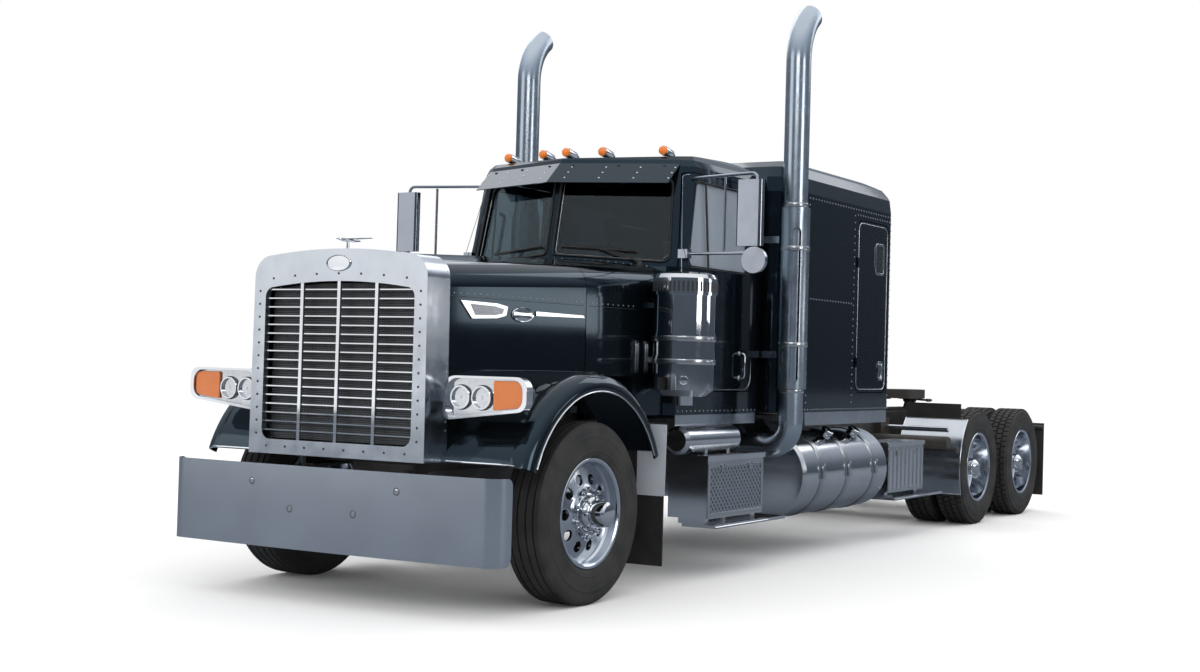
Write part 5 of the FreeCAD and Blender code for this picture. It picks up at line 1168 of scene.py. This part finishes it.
edges = [[on_fender(x, degrees) for degrees in spaced(-22, 47, 22)] for x in fender_sides]
edges += [[on_fender(x, degrees) for x in fender_sides] for degrees in (-21.6, 46.6)]
ready(both(*[bead(edge, 0.006, False) for edge in edges]), "quarter_fender_edges", chrome)
# The splash panels are pale grey as painted light, in place of the reflection their brushed sheet shows
splash = on_front([(1.020, 0.600), (1.020, 1.050), (1.232, 1.050), (1.226, 0.600)], 0.7545)
splash = plate(splash, (0, 0.003, 0), 0.001)
ready(both(splash), "splash_panels", pale_painted_light_sheet)

# %% Air cleaners: latches, straps and intake slots
cleaner = at(1.08, 1.215, 0)
strap_heights = (1.45, 1.60)


def on_cleaner(distance, degrees, z):
    # A point on the cleaner's wall, and the way out of it
    turn = math.radians(degrees)
    out = Vector((math.cos(turn), math.sin(turn), 0))
    return cleaner + out * distance + Vector((0, 0, z)), out


latches = []
for z in strap_heights:
    centre, _ = on_cleaner(0.211, 0, z)
    latches.append(block(centre - Vector((0.006, 0.014, 0.014)),
                         centre + Vector((0.010, 0.014, 0.014))))
latches.append(lathe(mm((-6, 0), (-6, 30), (4, 30), (7, 27), (5, 24), (6, 0)),
                     *on_cleaner(0.2055, -60, 1.33), 28))
ready(both(*latches), "cleaner_latches", chrome)
strap = mm((-17, 209.5), (-17, 212.5), (-14, 213.5), (14, 213.5), (17, 212.5), (17, 209.5),
           (-17, 209.5))
straps = [lathe(strap, cleaner + Vector((0, 0, z)), upward, 64) for z in strap_heights]
ready(both(*straps), "cleaner_straps", brushed)
slots = []
for degrees in range(-176, 180, 8):
    place, out = on_cleaner(0.2145, degrees, 1.94)
    slots.append(shift(place) @ out.to_track_quat("X", "Z").to_matrix().to_4x4())
# The slots are dark blocks on the wall of the cleaner: painted shade standing for the dark inside the
# openings
slot = copied(block(*mm((-2, -7.5, -34), (2.5, 7.5, 34)), 0.002, 1), slots)
ready(both(slot), "cleaner_intake_slots", frame_black)

# %% [markdown]
# ## Frame, coupling and tail
# The frame rails carry rows of flanged bolts at each crossmember. The coupling plate
# has its release handle and grease points, and the lamps at the tail sit in round
# rubber grommets. All of these are small turned or bent pieces copied into place.

# %% Frame bolts
crossmembers = (2.05, 3.0, 3.9, 5.3, 6.42, 7.42, 8.32)
bolt_rows = [(y + dy, z) for y in crossmembers for dy in (-0.03, 0.03) for z in (0.83, 0.905, 0.98)]
heads = studded("frame", on_side(bolt_rows, 0.60), inward, 0.013, 0.011, 6)
ready(both(heads), "frame_bolts", cast_black)

# %% Coupling plate: release handle and grease points
handle = tube([at(0.20, 7.25, 1.165), at(0.47, 7.25, 1.150), at(0.56, 7.25, 1.150),
               at(0.56, 7.19, 1.150)], 0.011, 0.03, 8, 4)
grip = lathe(mm((0, 0), (0, 16), (80, 16), (84, 12), (84, 0)), at(0.56, 7.19, 1.150), fore, 16)
ready(joined([handle, grip]), "release_handle", cast_black, "fifth_wheel_plate")
points = [(sign * x, y) for x, y in ((0.34, 6.95), (0.34, 7.38), (0.16, 6.90)) for sign in (1, -1)]
wear = studded("fifth_wheel", on_top(points, 2.0), down, 0.016, 0.0001, 16)
ready(wear, "grease_points", brushed, "fifth_wheel_plate")


# %% Tail lamps and their rims
def tail_pair(profile):
    return both(*[lathe(profile, at(x, 8.897, 0.91), aft, 32) for x in (0.17, 0.29)])


grommets = tail_pair(mm((-2, 49), (3, 54), (0, 57.5), (-8, 57.5), (-8, 49), (-2, 49)))
ready(grommets, "tail_lamp_rims", seal_black)
lenses = tail_pair(mm((-12, 0), (-12, 48), (-4, 48.5), (1, 40), (2.8, 18), (3, 0)))
ready(lenses, "tail_lamp_lenses", red_lens)

# %% [markdown]
# ## Seats, bunk and dash
# The cushions start as rounded blocks a little under size. Cloth with air pressure
# inside swells them and pulls their sides in between the corners, as foam under
# leather does, while the underside stays down on its base. Sculpting could do it too,
# but the simulation gives the same fair crown every time. Channels are sewn in after
# that. The dash gets turned gauges, dropped onto its face as the studs were.

# %% Cushions swelled by pressure
cloth_settings = {
    "use_pressure": True, "mass": 0.35, "tension_stiffness": 18, "compression_stiffness": 18,
    "shear_stiffness": 8, "bending_stiffness": 2.5, "vertex_group_mass": "held",
}
last_frame = 20
base_band = 0.012


def blown_up(piece, pressure, most):
    # Cloth with its base held, and a cap on how far a point may go
    start = [v.co.copy() for v in piece.data.vertices]
    lowest = min(point.z for point in start)
    held = piece.vertex_groups.new(name="held")
    held.add([k for k, point in enumerate(start) if point.z < lowest + base_band], 1.0, "REPLACE")
    cloth = piece.modifiers.new("foam", "CLOTH")
    for setting, value in cloth_settings.items():
        setattr(cloth.settings, setting, value)
    cloth.settings.uniform_pressure_force = pressure
    cloth.settings.effector_weights.gravity = 0
    cloth.point_cache.frame_start = 1
    cloth.point_cache.frame_end = last_frame
    for step in range(1, last_frame + 1):
        bpy.context.scene.frame_set(step)
    bpy.ops.object.modifier_apply(modifier=cloth.name)
    bpy.context.scene.frame_set(1)
    for vertex, before in zip(piece.data.vertices, start):
        move = vertex.co - before
        if move.length > most:
            vertex.co = before + move * (most / move.length)
    piece.vertex_groups.clear()


def swelled(piece, grain, pressure, most):
    applied(piece, "REMESH", mode="VOXEL", voxel_size=grain)
    blown_up(piece, pressure, most)
    return piece


def sewn(piece, axis, places, depth, width, top):
    # Channels pressed into the upper side along straight seams
    for vertex in piece.data.vertices:
        if vertex.normal.z > 0.5 and vertex.co.z > top:
            near = min(abs(vertex.co[axis] - place) for place in places)
            vertex.co.z -= depth * math.exp(-(near / width) ** 2)


def smoothed(piece):
    return shaded(applied(piece, "SUBSURF", levels=1, render_levels=1), 60)


# %% Two seats on their pedestals
def seat_cushion():
    pad = swelled(block((-0.235, -0.235, 0.0), (0.235, 0.235, 0.105), 0.030, 4), 0.013, 4.0, 0.024)
    sewn(pad, 0, (-0.150, 0.150), 0.012, 0.008, 0.05)
    sewn(pad, 1, (-0.075, 0.075), 0.008, 0.007, 0.05)
    return smoothed(pad)


def seat_back():
    pad = swelled(block((-0.225, -0.355, 0.0), (0.225, 0.355, 0.085), 0.030, 4), 0.014, 4.0, 0.022)
    sewn(pad, 0, (-0.145, 0.145), 0.012, 0.008, 0.03)
    sewn(pad, 1, (-0.20, -0.05, 0.10), 0.008, 0.007, 0.03)
    smoothed(pad)
    # Stood up, facing forward and leaning back
    pad.data.transform(Matrix.Rotation(math.radians(86), 4, "X"))
    return pad


seat_x = 0.45
pads = (("cushion", seat_cushion(), 2.10, 1.525), ("backrest", seat_back(), 2.405, 2.005))
for part, pattern, y, z in pads:
    for side, sign in sides:
        pad = duplicate(pattern, shift(at(sign * seat_x, y, z)))
        ready(pad, "seat_" + part + "_" + side, leather, stands_for=("seats",))
    bpy.data.objects.remove(pattern)
pedestal = [block(at(-0.150, 1.97, 1.2405), at(0.150, 2.28, 1.30), 0.012),
            block(at(-0.190, 1.93, 1.445), at(0.190, 2.31, 1.520), 0.014)]
for k, r in enumerate((0.128, 0.118, 0.128, 0.118)):
    fold = [(0.0, 0.0), (0.0, r - 0.012), (0.008, r), (0.030, r), (0.038, r - 0.012), (0.038, 0.0)]
    pedestal.append(lathe(fold, at(0, 2.12, 1.300 + k * 0.037), upward, 28))
pedestal.append(block(at(-0.20, 2.385, 1.62), at(0.20, 2.43, 2.30), 0.018))
for x in (-0.262, 0.262):
    pedestal.append(block(at(x - 0.025, 2.04, 1.775), at(x + 0.025, 2.38, 1.825), 0.020, 3))
    pedestal.append(tube([at(x, 2.40, 1.66), at(x, 2.40, 1.80), at(x, 2.34, 1.80)], 0.014, 0.03, 8, 3))
seat_moves = [shift((seat_x, 0, 0)), shift((-seat_x, 0, 0))]
ready(copied(joined(pedestal), seat_moves), "seat_frames", dash_grain, stands_for=("seats",))

# %% Bunk with its mattress
bunk = [block(at(-1.086, 3.701, 1.2405), at(1.086, 4.559, 1.612), 0.010)]
bunk += [block(at(x - 0.33, 3.6985, 1.29), at(x + 0.33, 3.7025, 1.56), 0.0015)
         for x in (-0.70, 0.0, 0.70)]
ready(joined(bunk), "bunk_box", dash_grain, stands_for=("bunk",))
mattress = swelled(block((-1.062, -0.405, 0.0), (1.062, 0.405, 0.135), 0.035, 4), 0.020, 3.0, 0.024)
sewn(mattress, 0, spaced(-0.80, 0.80, 5), 0.012, 0.014, 0.08)
sewn(mattress, 1, (-0.20, 0.0, 0.20), 0.010, 0.013, 0.08)
smoothed(mattress)
mattress.data.transform(shift(at(0, 4.13, 1.614)))
ready(mattress, "bunk_mattress", bunk_cloth, stands_for=("bunk",))

# %% Gauges and grab handles
gauges = ((0.34, 1.845, 0.048), (0.52, 1.845, 0.048), (0.24, 1.860, 0.028), (0.24, 1.790, 0.028),
          (0.43, 1.860, 0.026), (0.43, 1.790, 0.026), (0.62, 1.860, 0.028), (0.62, 1.790, 0.028),
          (0.10, 1.850, 0.026), (0.10, 1.785, 0.026))
rings, dials, needles = [], [], []
for x, z, r in gauges:
    spot = met("dash", at(x, 1.475, z), fore)
    if not spot:
        continue
    bezel = [(-0.002, r), (0.006, r), (0.008, r - 0.003), (0.004, r - 0.006),
             (-0.002, r - 0.006), (-0.002, r)]
    dial = [(-0.001, 0.0), (-0.001, r - 0.0055), (0.002, r - 0.0055), (0.002, 0.0)]
    rings.append(lathe(bezel, *spot, 28))
    dials.append(lathe(dial, *spot, 20))
    needle = block((-0.0012, -0.004, 0.002), (0.0012, r * 0.66, 0.0035), 0.0005, 1)
    needle.data.transform(standing(*spot) @ Matrix.Rotation(x * 9 + z * 4, 4, "Z"))
    needles.append(needle)
ready(joined(rings), "gauge_rings", chrome)
ready(joined(dials), "gauge_faces", seal_black)
ready(joined(needles), "gauge_needles", amber_lens)
grips = tube([at(0.812, 1.675, 2.21), at(0.772, 1.675, 2.225), at(0.742, 1.700, 2.50),
              at(0.782, 1.700, 2.515)], 0.013, 0.03, 10, 4)
ready(both(grips), "pillar_grips", dash_grain)

# %% [markdown]
# ## Floor, light and camera
# A plain pale floor, four soft lamps and two light cards show the form without drama.
# In reflections the surroundings are graded from dim to bright, because chrome and
# black paint show nothing but what stands round them. The camera stands where the
# photographer stood: by the left front corner, at chest height, with a lens of 48 mm.

# %% Floor and backdrop
def pale_floor():
    deselect()
    bpy.ops.mesh.primitive_plane_add(size=160, location=(0, 0, -0.001))
    floor = bpy.context.object
    floor.name = "floor"
    white, workshop = (0.99, 0.99, 0.99), (0.19, 0.22, 0.26)
    finish, tree = new_finish("pale_floor", white, 0.0, 0.6, Specular_IOR_Level=0.0)
    path = tree.nodes.new("ShaderNodeLightPath")
    # In reflections the floor is the dim blue-grey of a workshop floor
    tinted(tree, path.outputs["Is Glossy Ray"], white, workshop)
    floor.data.materials.append(finish)


def backdrop():
    # White for the camera and through glass, a graded sky in reflections
    world = bpy.context.scene.world or bpy.data.worlds.new("World")
    bpy.context.scene.world = world
    world.use_nodes = True
    tree = world.node_tree
    coordinate = tree.nodes.new("ShaderNodeTexCoord")
    split = tree.nodes.new("ShaderNodeSeparateXYZ")
    tree.links.new(coordinate.outputs["Generated"], split.inputs["Vector"])
    sky = tree.nodes.new("ShaderNodeValToRGB")
    stops = ((0.0, (0.06, 0.075, 0.095)), (0.14, (0.11, 0.135, 0.165)), (0.42, (0.46, 0.52, 0.60)),
             (0.80, (1.0, 1.02, 1.05)))
    sky.color_ramp.elements[0].position = stops[0][0]
    sky.color_ramp.elements[1].position = stops[-1][0]
    for position, _ in stops[1:-1]:
        sky.color_ramp.elements.new(position)
    for element, (_, color) in zip(sky.color_ramp.elements, stops):
        element.color = (*color, 1)
    tree.links.new(split.outputs["Z"], sky.inputs["Fac"])
    path = tree.nodes.new("ShaderNodeLightPath")
    seen = mixed(tree, path.outputs["Is Glossy Ray"], (1.05, 1.05, 1.05), sky.outputs["Color"])
    direct = worked(tree, "MAXIMUM", path.outputs["Is Camera Ray"],
                    path.outputs["Is Transmission Ray"])
    back = tree.nodes["Background"]
    tree.links.new(mixed(tree, direct, seen, (1, 1, 1)), back.inputs["Color"])
    back.inputs["Strength"].default_value = 1.0


pale_floor()
backdrop()


# %% Lamps
def hung(name, place, aim, power, width, height=None):
    light = bpy.data.lights.new(name, "AREA")
    light.energy = power
    light.size = width
    if height:
        light.shape = "RECTANGLE"
        light.size_y = height
    lamp = bpy.data.objects.new(name, light)
    bpy.context.scene.collection.objects.link(lamp)
    lamp.location = place
    lamp.rotation_euler = Vector(aim).to_track_quat("-Z", "Y").to_euler()


softboxes = (((-9, -15, 5), 9, 240), ((13, -4, 4), 4, 170), ((5, 9, 9), 7, 220),
             ((-7, 4, 9), 7, 160))
for place, size, power in softboxes:
    hung("softbox", place, Vector((0, -1, 1)) - Vector(place), power, size)
# A long low card shows as the light band along the upper hood side, and a second
# one, high in front, as the bright shoulders of the fenders
hung("card", (6.24, 1.25, 2.12), inward, 6.5, 2.2, 0.44)
hung("card", (5.5, -13.5, 6.5), (-0.42, 0.80, -0.42), 120, 6.0, 1.3)

# %% Camera
optics = bpy.data.cameras.new("camera")
optics.sensor_width = 36.0
optics.lens = 48.03
optics.shift_x = -0.063
optics.shift_y = -0.0026
camera = bpy.data.objects.new("camera", optics)
bpy.context.scene.collection.objects.link(camera)
yaw, pitch, roll = 0.5168, 0.0211, 0.0268
camera.matrix_world = (shift(at(6.2398, -7.9795, 1.4166)) @ Matrix.Rotation(yaw, 4, "Z")
                       @ Matrix.Rotation(math.pi / 2 + pitch, 4, "X") @ Matrix.Rotation(roll, 4, "Z"))
bpy.context.scene.camera = camera
bpy.context.scene.view_settings.view_transform = "Standard"
